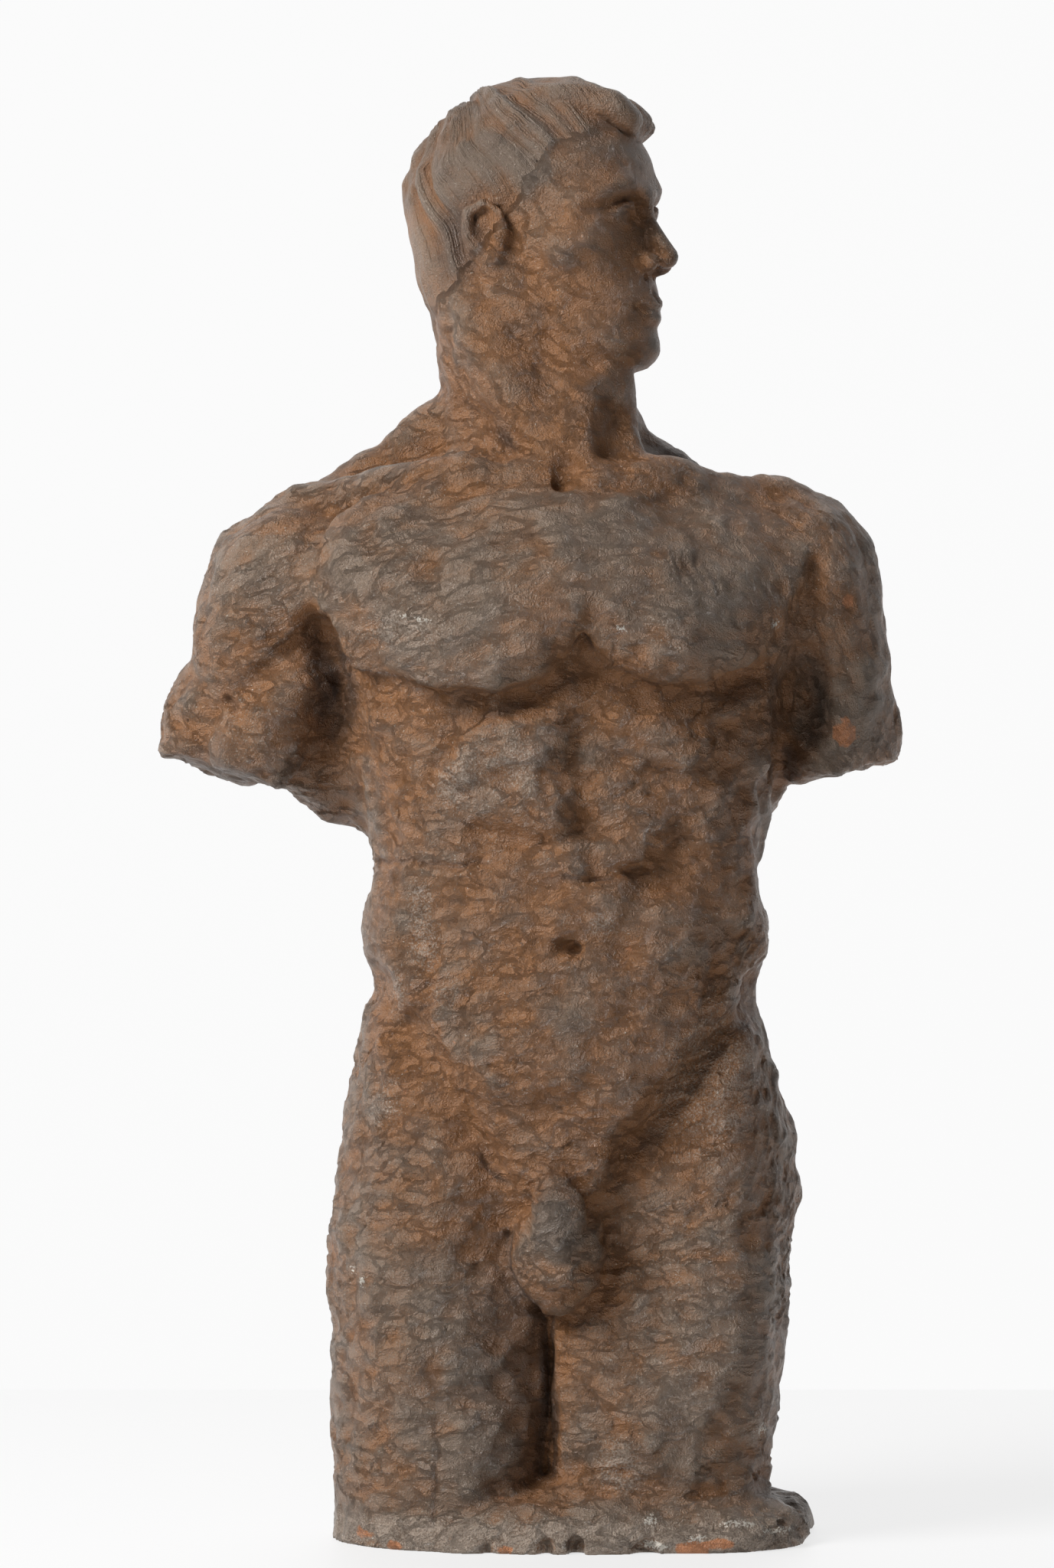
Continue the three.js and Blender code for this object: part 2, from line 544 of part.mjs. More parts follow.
function face() {
  for (const side of [-1, 1]) {
    lay(
      "head",
      strand(mirrored(side, [[40, 8, -22], [36, 2, -46], [21, -34, -64], [6, -48, -67]]), [7, 8, 8, 7]), 12,
    );
    lay("head", ellipsoid([side * 30, -33, -14], [17, 11, 11], [0, 0, side * 30]), 14);
    lay(
      "head",
      strand(mirrored(side, [[5, -55, 9], [17, -54, 12.5], [29, -48, 12], [38, -37, 6]]), [4.5, 5, 4.5, 4]),
      9,
    );
    cut("head", ellipsoid([side * 17.5, -60, 1.5], [12.5, 10, 8.5], [0, 0, -side * 16]), 6);
  }
  lay("head", ellipsoid([0, -48, -16], [13, 11, 17]), 8);
  lay("head", ellipsoid([0, -44, -46], [23, 16.5, 17]), 9);
  lay("head", strand([[0, -53, 8], [0, -58, -3], [0, -64, -13], [0, -69, -22]], [4.5, 4.4, 5, 6.6]), 5);
  for (const side of [-1, 1]) {
    lay("head", ellipsoid([side * 8.5, -60, -25.5], [5.2, 8.5, 5.6], [0, 0, side * 14]), 3.5);
    cut("head", ellipsoid([side * 5.5, -62, -31.5], [2.6, 4.5, 3]), 1.5);
    // eye: ball, lids
    lay("head", ellipsoid([side * 17, -45.5, -1], [11.5, 9, 8], [0, 0, -side * 12]), 1.5);
    const upper = [[6.5, -51, -2.5], [10.5, -54, 2], [17, -55.6, 4.2], [23, -53, 2.6], [28.5, -47.5, -2]];
    const lower = [[7, -50.5, -3.2], [12, -53, -6], [18, -53.6, -6.8], [24, -51, -5.2], [28.5, -47.5, -2]];
    lay("head", strand(mirrored(side, upper), [1.5, 1.9, 2.1, 1.9, 1.5]), 2);
    lay("head", strand(mirrored(side, lower), [1.2, 1.4, 1.5, 1.4, 1.2]), 2);
  }
  // lips and chin
  lay(
    "head",
    strand(
      [[-14, -55, -48.6], [-7, -60.5, -46], [0, -62.5, -46.6], [7, -60.5, -46], [14, -55, -48.6]],
      [1.4, 3.2, 3.4, 3.2, 1.4],
    ),
    3,
  );
  lay(
    "head",
    strand(
      [[-12, -55, -50.8], [-6, -59.5, -53.2], [0, -60.8, -53.8], [6, -59.5, -53.2], [12, -55, -50.8]],
      [1.6, 3.8, 4.2, 3.8, 1.6],
    ),
    3,
  );
  cut(
    "head",
    strand(
      [[-16, -57.5, -49.4], [-8, -64, -49.4], [0, -66, -50], [8, -64, -49.4], [16, -57.5, -49.4]],
      [0.8, 0.8, 0.8, 0.8, 0.8],
    ),
    2,
  );
  cut("head", ellipsoid([0, -65, -41], [2.2, 4, 5]), 3);
  lay("head", ellipsoid([0, -50, -67], [13, 12, 9]), 7);
}

function ears() {
  for (const side of [-1, 1]) {
    lay("head", ellipsoid([side * 46, 13, -14.5], [6, 10, 17.5], [-10, 0, side * 16]), 3);
    const rim = [
      [45, 3.4, -11], [49, 4.6, -1], [51, 12, 4.5], [53, 20, -1], [52.5, 21, -12.5], [49.5, 15.5, -25],
      [46.5, 8, -33],
    ];
    lay("head", strand(mirrored(side, rim), [2, 2.4, 2.6, 2.6, 2.4, 2.4, 3.2]), 2.5);
    cut("head", ellipsoid([side * 53, 11.5, -13], [5, 4.5, 7.5], [-10, 0, side * 16]), 2);
    lay("head", ellipsoid([side * 46.5, 4, -16], [3, 3, 4.5]), 2.5);
  }
}

// Locks of hair down the sides and the back, in three tiers: from, to, and how far the tier is turned
const LOCKS = [[74, 46, 0], [52, 28, 6], [32, 10, 0]];

function hair() {
  const cap = ellipsoid(SKULL_AT, SKULL.map((r) => r + 1.5), SKULL_TURN);
  lay("head", below(cap, [0, -43, 43], [0, -0.62, -0.78], 3), 3);
  for (const side of [-1, 1]) {
    for (const [high, low, shift] of LOCKS) {
      for (let i = 0; i < 10; i += 1) {
        const around = 36 + shift + 15 * i;
        const wave = 3 * (-1) ** i;
        const points = [
          onSkull(side * (around - 8), high, -1), onSkull(side * (around + wave), (high + low) / 2 + wave, 0),
          onSkull(side * (around + 7), low, -1),
        ];
        lay("head", strand(points, [3, 4.6, 3]), 2);
      }
    }
  }
  // the wave of longer hair, swept forward over the brow and across it
  for (let i = 0; i < 5; i += 1) {
    const points = [
      [-27 + 6 * i, 6, 61 + 1.2 * i], [-24 + 6 * i, -22, 61 + i], [-18 + 6.5 * i, -42, 56],
      [-9 + 7 * i, -50, 49], [-1 + 6 * i, -49 + 1.5 * i, 43.5],
    ];
    lay("head", strand(points, [4, 6, 6, 5.5, 3.5]), 3);
  }
}

function head() {
  lay("head", ellipsoid(SKULL_AT, SKULL, SKULL_TURN), 4);
  // nape
  for (const side of [-1, 1]) {
    lay("head", strand([[side * 16, 43, -8], [side * 15, 30, -42]], [20, 20]), 16);
  }
  lay("head", loft(FACE), 6);
  face();
  ears();
  hair();
}

const BASE = [
  [0, 11, 8, 125, 84, 76, 2.8], [7, 11, 8, 126, 84, 78, 2.8], [SLAB_THICKNESS, 11, 8, 123, 80, 74, 2.8],
];

function base() {
  lay("statue", loft(BASE), 14);
  // the thicker end of the slab, at the viewer's right
  lay(
    "statue",
    loft([[0, 98, 30, 42, 50, 38, 2.4], [12, 98, 30, 42, 48, 36, 2.4], [20, 96, 30, 38, 42, 32, 2.4]]), 6,
  );
  // the clay banked up against the thighs, highest in front of the gap
  lay("statue", ellipsoid([8, -44, 8], [64, 34, 26]), 10);
  lay("statue", ellipsoid([84, -32, 8], [50, 38, 20]), 10);
  // bites out of the slab's front edge: x, height, half width
  for (const [x, z, half] of [[-87, 2, 6], [-39, 3, 4], [-7, 2, 4], [9, 3, 4], [47, 2, 7], [111, 3, 5]]) {
    cut("statue", ellipsoid([x, -78, z], [half, 9, 7]), 3);
  }
}

// Closed triangle surface where the field is zero, by six tetrahedra in each cell of a regular grid.

const CORNERS = [0, 1, 2, 3, 4, 5, 6, 7].map((n) => [n & 1, (n >> 1) & 1, (n >> 2) & 1]);
const TETRAHEDRA = [[0, 1, 3, 7], [0, 3, 2, 7], [0, 2, 6, 7], [0, 6, 4, 7], [0, 4, 5, 7], [0, 5, 1, 7]];

function surfaceOf(field, low, high, step) {
  const count = low.map((v, i) => Math.ceil((high[i] - v) / step) + 1);
  const values = new Float64Array(count[0] * count[1] * count[2]);
  const indexOf = (i, j, k) => (k * count[1] + j) * count[0] + i;
  for (let k = 0; k < count[2]; k += 1) {
    for (let j = 0; j < count[1]; j += 1) {
      for (let i = 0; i < count[0]; i += 1) {
        values[indexOf(i, j, k)] = field(low[0] + i * step, low[1] + j * step, low[2] + k * step);
      }
    }
  }
  const placeOf = (index) => {
    const i = index % count[0];
    const j = Math.floor(index / count[0]) % count[1];
    const k = Math.floor(index / (count[0] * count[1]));
    return [low[0] + i * step, low[1] + j * step, low[2] + k * step];
  };
  const points = [];
  const triangles = [];
  const known = new Map();
  const crossing = (a, b) => {
    const [p, q] = a < b ? [a, b] : [b, a];
    const key = p * values.length + q;
    if (!known.has(key)) {
      const t = Math.min(Math.max(values[p] / (values[p] - values[q]), EDGE_MARGIN), 1 - EDGE_MARGIN);
      const from = placeOf(p);
      const to = placeOf(q);
      known.set(key, points.length);
      points.push(from.map((v, i) => v + (to[i] - v) * t));
    }
    return known.get(key);
  };
  const outwards = (inner, outer, triangle) => {
    const [a, b, c] = triangle.map((n) => new THREE.Vector3(...points[n]));
    const normal = b.sub(a).cross(c.sub(a));
    const centre = (list) => list
      .reduce((sum, n) => sum.add(new THREE.Vector3(...placeOf(n))), new THREE.Vector3())
      .divideScalar(list.length);
    const away = centre(outer).sub(centre(inner));
    triangles.push(normal.dot(away) > 0 ? triangle : [triangle[0], triangle[2], triangle[1]]);
  };
  for (let k = 0; k < count[2] - 1; k += 1) {
    for (let j = 0; j < count[1] - 1; j += 1) {
      for (let i = 0; i < count[0] - 1; i += 1) {
        const corner = CORNERS.map(([a, b, c]) => indexOf(i + a, j + b, k + c));
        const inside = corner.map((n) => values[n] < 0);
        if (inside.every((v) => v === inside[0])) continue;
        for (const tetrahedron of TETRAHEDRA) {
          const inner = tetrahedron.filter((n) => inside[n]).map((n) => corner[n]);
          const outer = tetrahedron.filter((n) => !inside[n]).map((n) => corner[n]);
          if (inner.length === 1) outwards(inner, outer, outer.map((n) => crossing(inner[0], n)));
          if (inner.length === 3) outwards(inner, outer, inner.map((n) => crossing(n, outer[0])));
          if (inner.length === 2) {
            const [a, b, c, d] = [[0, 0], [0, 1], [1, 1], [1, 0]].map(
              ([m, n]) => crossing(inner[m], outer[n]),
            );
            outwards(inner, outer, [a, b, c]);
            outwards(inner, outer, [a, c, d]);
          }
        }
      }
    }
  }
  return { points, triangles };
}

// Fewer triangles by edge collapse: each vertex keeps the sum of squared distances to the planes it stood on.

const PLANE_TERMS = 10;

function planeSum(a, b, c, weight) {
  const normal = new THREE.Vector3().crossVectors(b.clone().sub(a), c.clone().sub(a));
  const area = normal.length();
  if (area === 0) return new Float64Array(PLANE_TERMS);
  normal.divideScalar(area);
  const [x, y, z] = normal.toArray();
  const w = -normal.dot(a);
  const terms = [x * x, x * y, x * z, x * w, y * y, y * z, y * w, z * z, z * w, w * w];
  return Float64Array.from(terms, (v) => v * area * weight);
}

function errorAt(q, x, y, z) {
  return q[0] * x * x + 2 * q[1] * x * y + 2 * q[2] * x * z + 2 * q[3] * x + q[4] * y * y + 2 * q[5] * y * z +
    2 * q[6] * y + q[7] * z * z + 2 * q[8] * z + q[9];
}

class Queue {
  constructor() {
    this.items = [];
  }

  push(item) {
    const items = this.items;
    let i = items.length;
    items.push(item);
    while (i > 0) {
      const above = (i - 1) >> 1;
      if (items[above].cost <= item.cost) break;
      items[i] = items[above];
      i = above;
    }
    items[i] = item;
  }

  pop() {
    const items = this.items;
    const first = items[0];
    const item = items.pop();
    if (items.length === 0) return first;
    let i = 0;
    for (;;) {
      let under = 2 * i + 1;
      if (under >= items.length) break;
      if (under + 1 < items.length && items[under + 1].cost < items[under].cost) under += 1;
      if (items[under].cost >= item.cost) break;
      items[i] = items[under];
      i = under;
    }
    items[i] = item;
    return first;
  }
}

function simplified({ points, triangles }, wanted, weightAt) {
  const place = points.map((p) => new THREE.Vector3(...p));
  const faces = triangles.map((t) => [...t]);
  const around = place.map(() => new Set());
  const sums = place.map(() => new Float64Array(PLANE_TERMS));
  faces.forEach((face, n) => {
    const [a, b, c] = face.map((v) => place[v]);
    const plane = planeSum(a, b, c, weightAt(a));
    for (const v of face) {
      around[v].add(n);
      for (let i = 0; i < PLANE_TERMS; i += 1) sums[v][i] += plane[i];
    }
  });
  const changed = new Uint32Array(place.length);
  const onFloor = place.map((p) => p.z < FLOOR_SNAP);
  for (const [n, p] of place.entries()) {
    if (onFloor[n]) p.z = 0;
  }

  const neighbours = (v) => {
    const found = new Set();
    for (const n of around[v]) {
      for (const other of faces[n]) found.add(other);
    }
    found.delete(v);
    return found;
  };
  const candidate = (a, b) => {
    const q = sums[a].map((v, i) => v + sums[b][i]);
    const matrix = new THREE.Matrix3().set(q[0], q[1], q[2], q[1], q[4], q[5], q[2], q[5], q[7]);
    const choices = [place[a].clone(), place[b].clone(), place[a].clone().lerp(place[b], 0.5)];
    const size = (q[0] + q[4] + q[7]) / 3;
    if (Math.abs(matrix.determinant()) > SHARPNESS * size ** 3) {
      const best = new THREE.Vector3(-q[3], -q[6], -q[8]).applyMatrix3(matrix.invert());
      if (best.distanceTo(choices[2]) < place[a].distanceTo(place[b])) choices.push(best);
    }
    let options = choices;
    if (onFloor[a] !== onFloor[b]) options = [place[onFloor[a] ? a : b].clone()];
    if (onFloor[a] && onFloor[b]) for (const option of options) option.z = 0;
    let cost = Infinity;
    let at = null;
    for (const option of options) {
      const error = errorAt(q, option.x, option.y, option.z);
      if (error < cost) {
        cost = error;
        at = option;
      }
    }
    const length = place[a].distanceTo(place[b]);
    cost = Math.max(cost, 0) + LENGTH_COST * length ** 2;
    return { a, b, at, q, cost, stampA: changed[a], stampB: changed[b] };
  };
  const queue = new Queue();
  for (let v = 0; v < place.length; v += 1) {
    for (const other of neighbours(v)) if (v < other) queue.push(candidate(v, other));
  }
  const side = new THREE.Vector3();
  const edge = new THREE.Vector3();
  const normalOf = (p, q, r) => new THREE.Vector3().crossVectors(
    side.subVectors(q, p), edge.subVectors(r, p),
  );
  const turnsOver = (v, gone, at) => {
    for (const n of around[v]) {
      if (faces[n].includes(gone)) continue;
      const before = faces[n].map((w) => place[w]);
      const after = faces[n].map((w) => (w === v ? at : place[w]));
      const oldNormal = normalOf(...before);
      const newNormal = normalOf(...after);
      const spread = after[0].distanceToSquared(after[1]) + after[1].distanceToSquared(after[2]) +
        after[2].distanceToSquared(after[0]);
      if (newNormal.length() < THIN * spread) return true;
      if (oldNormal.dot(newNormal) < TURN_LIMIT * oldNormal.length() * newNormal.length()) return true;
    }
    return false;
  };
  let left = faces.length;
  while (left > wanted && queue.items.length > 0) {
    const { a, b, at, q, stampA, stampB } = queue.pop();
    const stale = changed[a] !== stampA || changed[b] !== stampB;
    if (stale || around[a].size === 0 || around[b].size === 0) continue;
    const nextToA = neighbours(a);
    const shared = [...neighbours(b)].filter((v) => nextToA.has(v));
    if (shared.length !== 2 || turnsOver(a, b, at) || turnsOver(b, a, at)) continue;
    for (const n of [...around[b]]) {
      if (faces[n].includes(a)) {
        for (const v of faces[n]) around[v].delete(n);
        left -= 1;
      } else {
        faces[n] = faces[n].map((v) => (v === b ? a : v));
        around[a].add(n);
      }
    }
    around[b].clear();
    place[a].copy(at);
    onFloor[a] = onFloor[a] || onFloor[b];
    sums[a] = q;
    changed[a] += 1;
    changed[b] += 1;
    for (const other of neighbours(a)) queue.push(candidate(a, other));
  }
  const kept = new Set();
  for (const set of around) {
    for (const n of set) kept.add(n);
  }
  const number = new Map();
  const positions = [];
  const index = [];
  for (const n of kept) {
    for (const v of faces[n]) {
      if (!number.has(v)) {
        number.set(v, number.size);
        positions.push(...place[v].toArray());
      }
      index.push(number.get(v));
    }
  }
  return { positions, index };
}

trunk();
shoulders();
arms();
neck();
thighs();
genitals();
head();
base();
const ground = { distance: (x, y, z) => z, low: [-HEIGHT, -HEIGHT, -HEIGHT], high: [HEIGHT, HEIGHT, 0] };
cut("statue", ground, 0.5);

// The head keeps more of its small forms than the body.
const weightAt = (point) => (point.z > CHIN ? HEAD_WEIGHT : 1);

const rough = surfaceOf(statueField, LOW, HIGH, GRID_STEP);
const fine = simplified(rough, TRIANGLES, weightAt);
const geometry = new THREE.BufferGeometry();
geometry.setAttribute("position", new THREE.Float32BufferAttribute(fine.positions, 3));
geometry.setIndex(fine.index);
geometry.computeVertexNormals();

const clay = new THREE.MeshStandardMaterial({ color: 0x6e5443, roughness: 0.62, metalness: 0 });
const statue = new THREE.Mesh(geometry, clay);
statue.name = "wrestler_statue";

const group = new THREE.Group();
group.add(statue);
export default group;
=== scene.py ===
# A standing torso with its head, in patinated clay: the fine surface, its finish, the light and the view.
import math

import bpy
import numpy as np
import openvdb
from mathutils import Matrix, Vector, kdtree


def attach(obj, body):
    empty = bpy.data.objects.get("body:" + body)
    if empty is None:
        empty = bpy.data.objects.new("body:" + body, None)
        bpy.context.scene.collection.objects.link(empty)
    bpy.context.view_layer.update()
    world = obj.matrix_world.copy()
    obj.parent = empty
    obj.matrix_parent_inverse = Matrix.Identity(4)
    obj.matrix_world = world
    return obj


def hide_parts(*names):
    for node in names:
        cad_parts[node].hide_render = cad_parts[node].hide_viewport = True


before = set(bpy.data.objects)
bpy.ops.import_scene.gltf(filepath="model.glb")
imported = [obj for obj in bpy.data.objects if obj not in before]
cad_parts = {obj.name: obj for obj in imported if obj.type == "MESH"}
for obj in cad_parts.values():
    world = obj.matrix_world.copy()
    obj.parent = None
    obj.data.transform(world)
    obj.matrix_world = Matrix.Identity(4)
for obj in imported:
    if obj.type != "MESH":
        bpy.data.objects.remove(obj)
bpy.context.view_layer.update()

# Lengths are in millimetres until the mesh is made. Front is -Y, up is +Z, the viewer's right is +X.
MM = 0.001
# The grid: its fine cell, how many of them a coarse cell has each way, and its corners
GRID_STEP = 1.5
COARSE = 4
LOW = np.array([-236.0, -124.0, -6.0])
HIGH = np.array([212.0, 124.0, 812.0])
MOST_TRIANGLES = 196000
SEED = 11
# The surface for each dab, the height of clay that no dab pressed, and the height under which all is flat
DAB_AREA = 62
UNTOUCHED = 0.6
FLAT_BELOW = 0.7


# Distance fields. A shape is (distance, lowest corner, highest corner), with distance negative inside.

def turned(turn):
    """Axes after turns in degrees about x, then y, then z, as the columns of a matrix."""
    ax, ay, az = (math.radians(t) for t in turn)
    about_x = np.array([[1, 0, 0], [0, math.cos(ax), -math.sin(ax)], [0, math.sin(ax), math.cos(ax)]])
    about_y = np.array([[math.cos(ay), 0, math.sin(ay)], [0, 1, 0], [-math.sin(ay), 0, math.cos(ay)]])
    about_z = np.array([[math.cos(az), -math.sin(az), 0], [math.sin(az), math.cos(az), 0], [0, 0, 1]])
    return about_z @ about_y @ about_x


def ellipsoid(at, radii, turn=(0, 0, 0), axes=None):
    centre = np.array(at, float)
    r = np.array(radii, float)
    axes = turned(turn) if axes is None else axes

    def distance(p):
        q = (p - centre) @ axes
        k0 = np.sqrt(((q / r) ** 2).sum(1)) + 1e-9
        k1 = np.sqrt(((q / r**2) ** 2).sum(1)) + 1e-9
        return k0 * (k0 - 1) / k1

    reach = np.abs(axes) @ r
    return distance, centre - reach, centre + reach


def strand(points, radii):
    """A chain of round cones through the points."""
    at = np.array(points, float)
    r = np.array(radii, float)

    def distance(p):
        best = np.full(len(p), np.inf)
        for a, b, start, end in zip(at[:-1], at[1:], r[:-1], r[1:]):
            along = b - a
            t = np.clip(((p - a) @ along) / (along @ along), 0, 1)
            gap = np.sqrt(((p - a - t[:, None] * along) ** 2).sum(1))
            best = np.minimum(best, gap - (start + (end - start) * t))
        return best

    return distance, (at - r[:, None]).min(0), (at + r[:, None]).max(0)


def rows_at(rows, z):
    """Values between rows at the heights z, on smooth curves; the first number of a row is its height."""
    table = np.array(rows, float)
    heights, values = table[:, 0], table[:, 1:]
    slopes = np.gradient(values, heights, axis=0)
    z = np.clip(z, heights[0], heights[-1])
    i = np.clip(np.searchsorted(heights, z) - 1, 0, len(heights) - 2)
    gap = (heights[i + 1] - heights[i])[:, None]
    s = (z - heights[i])[:, None] / gap
    return ((2 * s**3 - 3 * s**2 + 1) * values[i] + (s**3 - 2 * s**2 + s) * gap * slopes[i]
            + (-2 * s**3 + 3 * s**2) * values[i + 1] + (s**3 - s**2) * gap * slopes[i + 1])


def loft(rows):
    """Stacked rounded sections: rows of [z, centre x, centre y, half width, front, back, squareness]."""
    table = np.array(rows, float)
    bottom, top = table[0, 0], table[-1, 0]

    def distance(p):
        cx, cy, half, front, back, n = rows_at(rows, p[:, 2]).T
        dx, dy = p[:, 0] - cx, p[:, 1] - cy
        depth = np.where(dy < 0, front, back)
        ratio = ((np.abs(dx) / half) ** n + (np.abs(dy) / depth) ** n) ** (1 / n) + 1e-6
        side = (np.sqrt(dx**2 + dy**2) + 1e-6) * (1 - 1 / ratio)
        side = np.maximum(side, -np.minimum(half, depth))
        return np.maximum(side, np.maximum(bottom - p[:, 2], p[:, 2] - top))

    low = np.array([(table[:, 1] - table[:, 3]).min(), (table[:, 2] - table[:, 4]).min(), bottom])
    high = np.array([(table[:, 1] + table[:, 3]).max(), (table[:, 2] + table[:, 5]).max(), top])
    return distance, low, high


def blend_min(a, b, width):
    """The lesser of two distances, rounded where they are close."""
    h = np.clip(0.5 + 0.5 * (b - a) / width, 0, 1)
    return b + (a - b) * h - width * h * (1 - h)


def below(shape, point, normal, width):
    """The part of a shape on the inner side of a plane."""
    distance, low, high = shape
    point, normal = np.array(point, float), np.array(normal, float)
    normal = normal / np.linalg.norm(normal)
    return (lambda p: -blend_min(-distance(p), -((p - point) @ normal), width)), low, high


def joined(shapes, width):
    """Several shapes as one."""
    def distance(p):
        value = shapes[0][0](p)
        for other, _, _ in shapes[1:]:
            value = blend_min(value, other(p), width)
        return value

    return distance, np.min([s[1] for s in shapes], axis=0), np.max([s[2] for s in shapes], axis=0)


# The figure is built up in order: each step lays a shape on or cuts it away, with a soft join.
steps = []
# The distance of empty space, how far around a shape its step works, and the size of a block
FAR = 60.0
REACH = 16.0
BLOCK = 40.0


def lay(shape, width):
    steps.append([shape, width, 1])


def cut(shape, width):
    steps.append([shape, width, -1])


def build(space, *parts):
    """Adds the steps of some parts, whose places are all in one space."""
    first = len(steps)
    for part in parts:
        part()
    for step in steps[first:]:
        step.append(space)


def field(points):
    """The figure's distance at each point, worked out block by block with the steps that reach the block."""
    value = np.full(len(points), FAR)
    block = np.floor((points - LOW) / BLOCK).astype(np.int64)
    keys = (block[:, 0] * 64 + block[:, 1]) * 64 + block[:, 2]
    order = np.argsort(keys, kind="stable")
    starts = np.flatnonzero(np.diff(keys[order], prepend=-1))
    for group in np.split(order, starts[1:]):
        at = points[group]
        local = {}
        for name, into in SPACES.items():
            p = into(at)
            local[name] = (p, p.min(0), p.max(0))
        here = np.full(len(at), FAR)
        for (distance, low, high), width, sign, space in steps:
            p, lowest, highest = local[space]
            reach = REACH + width
            if np.any(highest < low - reach) or np.any(lowest > high + reach):
                continue
            near = np.all((p > low - reach) & (p < high + reach), axis=1)
            if near.all():
                here = sign * blend_min(sign * here, distance(p), width)
            elif near.any():
                here[near] = sign * blend_min(sign * here[near], distance(p[near]), width)
        value[group] = here
    return value


def into_trunk(p):
    """Places in the trunk are untwisted and unswayed."""
    sway, twist = rows_at(TWIST, p[:, 2]).T
    a = -np.radians(twist)
    x, y = p[:, 0] - sway, p[:, 1]
    return np.stack([x * np.cos(a) - y * np.sin(a), x * np.sin(a) + y * np.cos(a), p[:, 2]], 1)


def into_head(p):
    """Places in the head are its own, facing -Y from the eyes."""
    return (p - np.array(HEAD_AT)) @ turned([0, 0, HEAD_TURN]) / HEAD_SCALE


SPACES = {"statue": lambda p: p, "trunk": into_trunk, "head": into_head}


# The faces of the trunk
FRONT = -1
BACK = 1


def on_trunk(x, z, face):
    """The point on the trunk's front or back at x and z, with the axes across it, out of it and up it."""
    def ratio(px, py, pz):
        cx, cy, half, front, back, n = rows_at(TRUNK, np.array([float(pz)]))[0]
        return ((abs(px - cx) / half) ** n + (abs(py - cy) / (front if face < 0 else back)) ** n) ** (1 / n)

    cx, cy, half, front, back, n = rows_at(TRUNK, np.array([float(z)]))[0]
    depth = front if face < 0 else back
    y = cy + face * depth * (1 - min(abs(x - cx) / half, 0.97) ** n) ** (1 / n)
    e = 0.5
    out = np.array([
        ratio(x + e, y, z) - ratio(x - e, y, z),
        ratio(x, y + e, z) - ratio(x, y - e, z),
        ratio(x, y, z + e) - ratio(x, y, z - e),
    ])
    out = out / np.linalg.norm(out)
    across = np.cross([0, 0, 1], out)
    across = across / np.linalg.norm(across)
    return np.array([x, y, z]), across, out, np.cross(out, across)


def pad(x, z, size, lean=0, lift=0, face=FRONT):
    """A muscle on the trunk: size is [half width, thickness, half height], lean a turn in its plane."""
    at, across, out, up = on_trunk(x, z, face)
    a = math.radians(lean)
    wide, high = across * math.cos(a) + up * math.sin(a), up * math.cos(a) - across * math.sin(a)
    return ellipsoid(at + out * lift, size, axes=np.stack([wide, out, high], 1))


def ridge(points, radii, lift=0, face=FRONT):
    """A strand that follows the trunk through [x, z] points."""
    places = []
    for x, z in points:
        at, _, out, _ = on_trunk(x, z, face)
        places.append(at + out * lift)
    return strand(places, radii)


def mirrored(side, points):
    return [[side * x, y, z] for x, y, z in points]


def on_skull(around, up, lift):
    """A point over the skull: around is 0 at the forehead and 180 at the back, up is its elevation."""
    a, e = math.radians(around), math.radians(up)
    way = np.array([math.sin(a) * math.cos(e), -math.cos(a) * math.cos(e), math.sin(e)])
    return np.array(SKULL_AT) + turned(SKULL_TURN) @ ((np.array(SKULL) + lift) * way)


# How the trunk leans and turns: z, sway along x, twist in degrees
TWIST = [
    [0, 0, 0], [190, 0, 0], [260, 1, 2], [340, 3, 4.5],
    [430, 3, 7], [500, -1, 8], [560, -6, 8], [620, -9, 8],
]
HEAD_AT = [-8, 4, 723.5]
HEAD_TURN = 67
HEAD_SCALE = 1.05

# Sections: z, centre x, centre y, half width, front, back, squareness
TRUNK = [
    [140, 0, 2, 90, 50, 62, 2.2],
    [185, 0, 2, 100, 58, 72, 2.3],
    [215, 0, 2, 106, 65, 76, 2.4],
    [250, 0, 0, 107, 72, 70, 2.4],
    [285, 0, -2, 104, 75, 60, 2.4],
    [310, 0, -3, 101, 75, 55, 2.3],
    [335, 0, -4, 102, 74, 53, 2.3],
    [365, 0, -3, 105, 75, 57, 2.3],
    [400, 0, -1, 112, 79, 64, 2.3],
    [440, 0, 1, 117, 84, 71, 2.4],
    [480, 0, 3, 120, 86, 77, 2.5],
    [515, 0, 4, 121, 82, 78, 2.5],
    [545, 0, 6, 112, 70, 75, 2.4],
    [568, 0, 8, 94, 56, 68, 2.2],
    [588, 0, 8, 62, 42, 56, 2.0],
    [600, 0, 8, 40, 28, 46, 2.0],
]
SKULL_AT = [0, 12, 17]
SKULL = [47.5, 62, 51]
SKULL_TURN = [-20, 0, 0]


def trunk():
    lay(loft(TRUNK), 1)
    # shoulder girdle behind the collar bones
    lay(ellipsoid([0, 16, 556], [126, 48, 28]), 16)
    back_forms()
    side_forms()
    belly()
    chest()


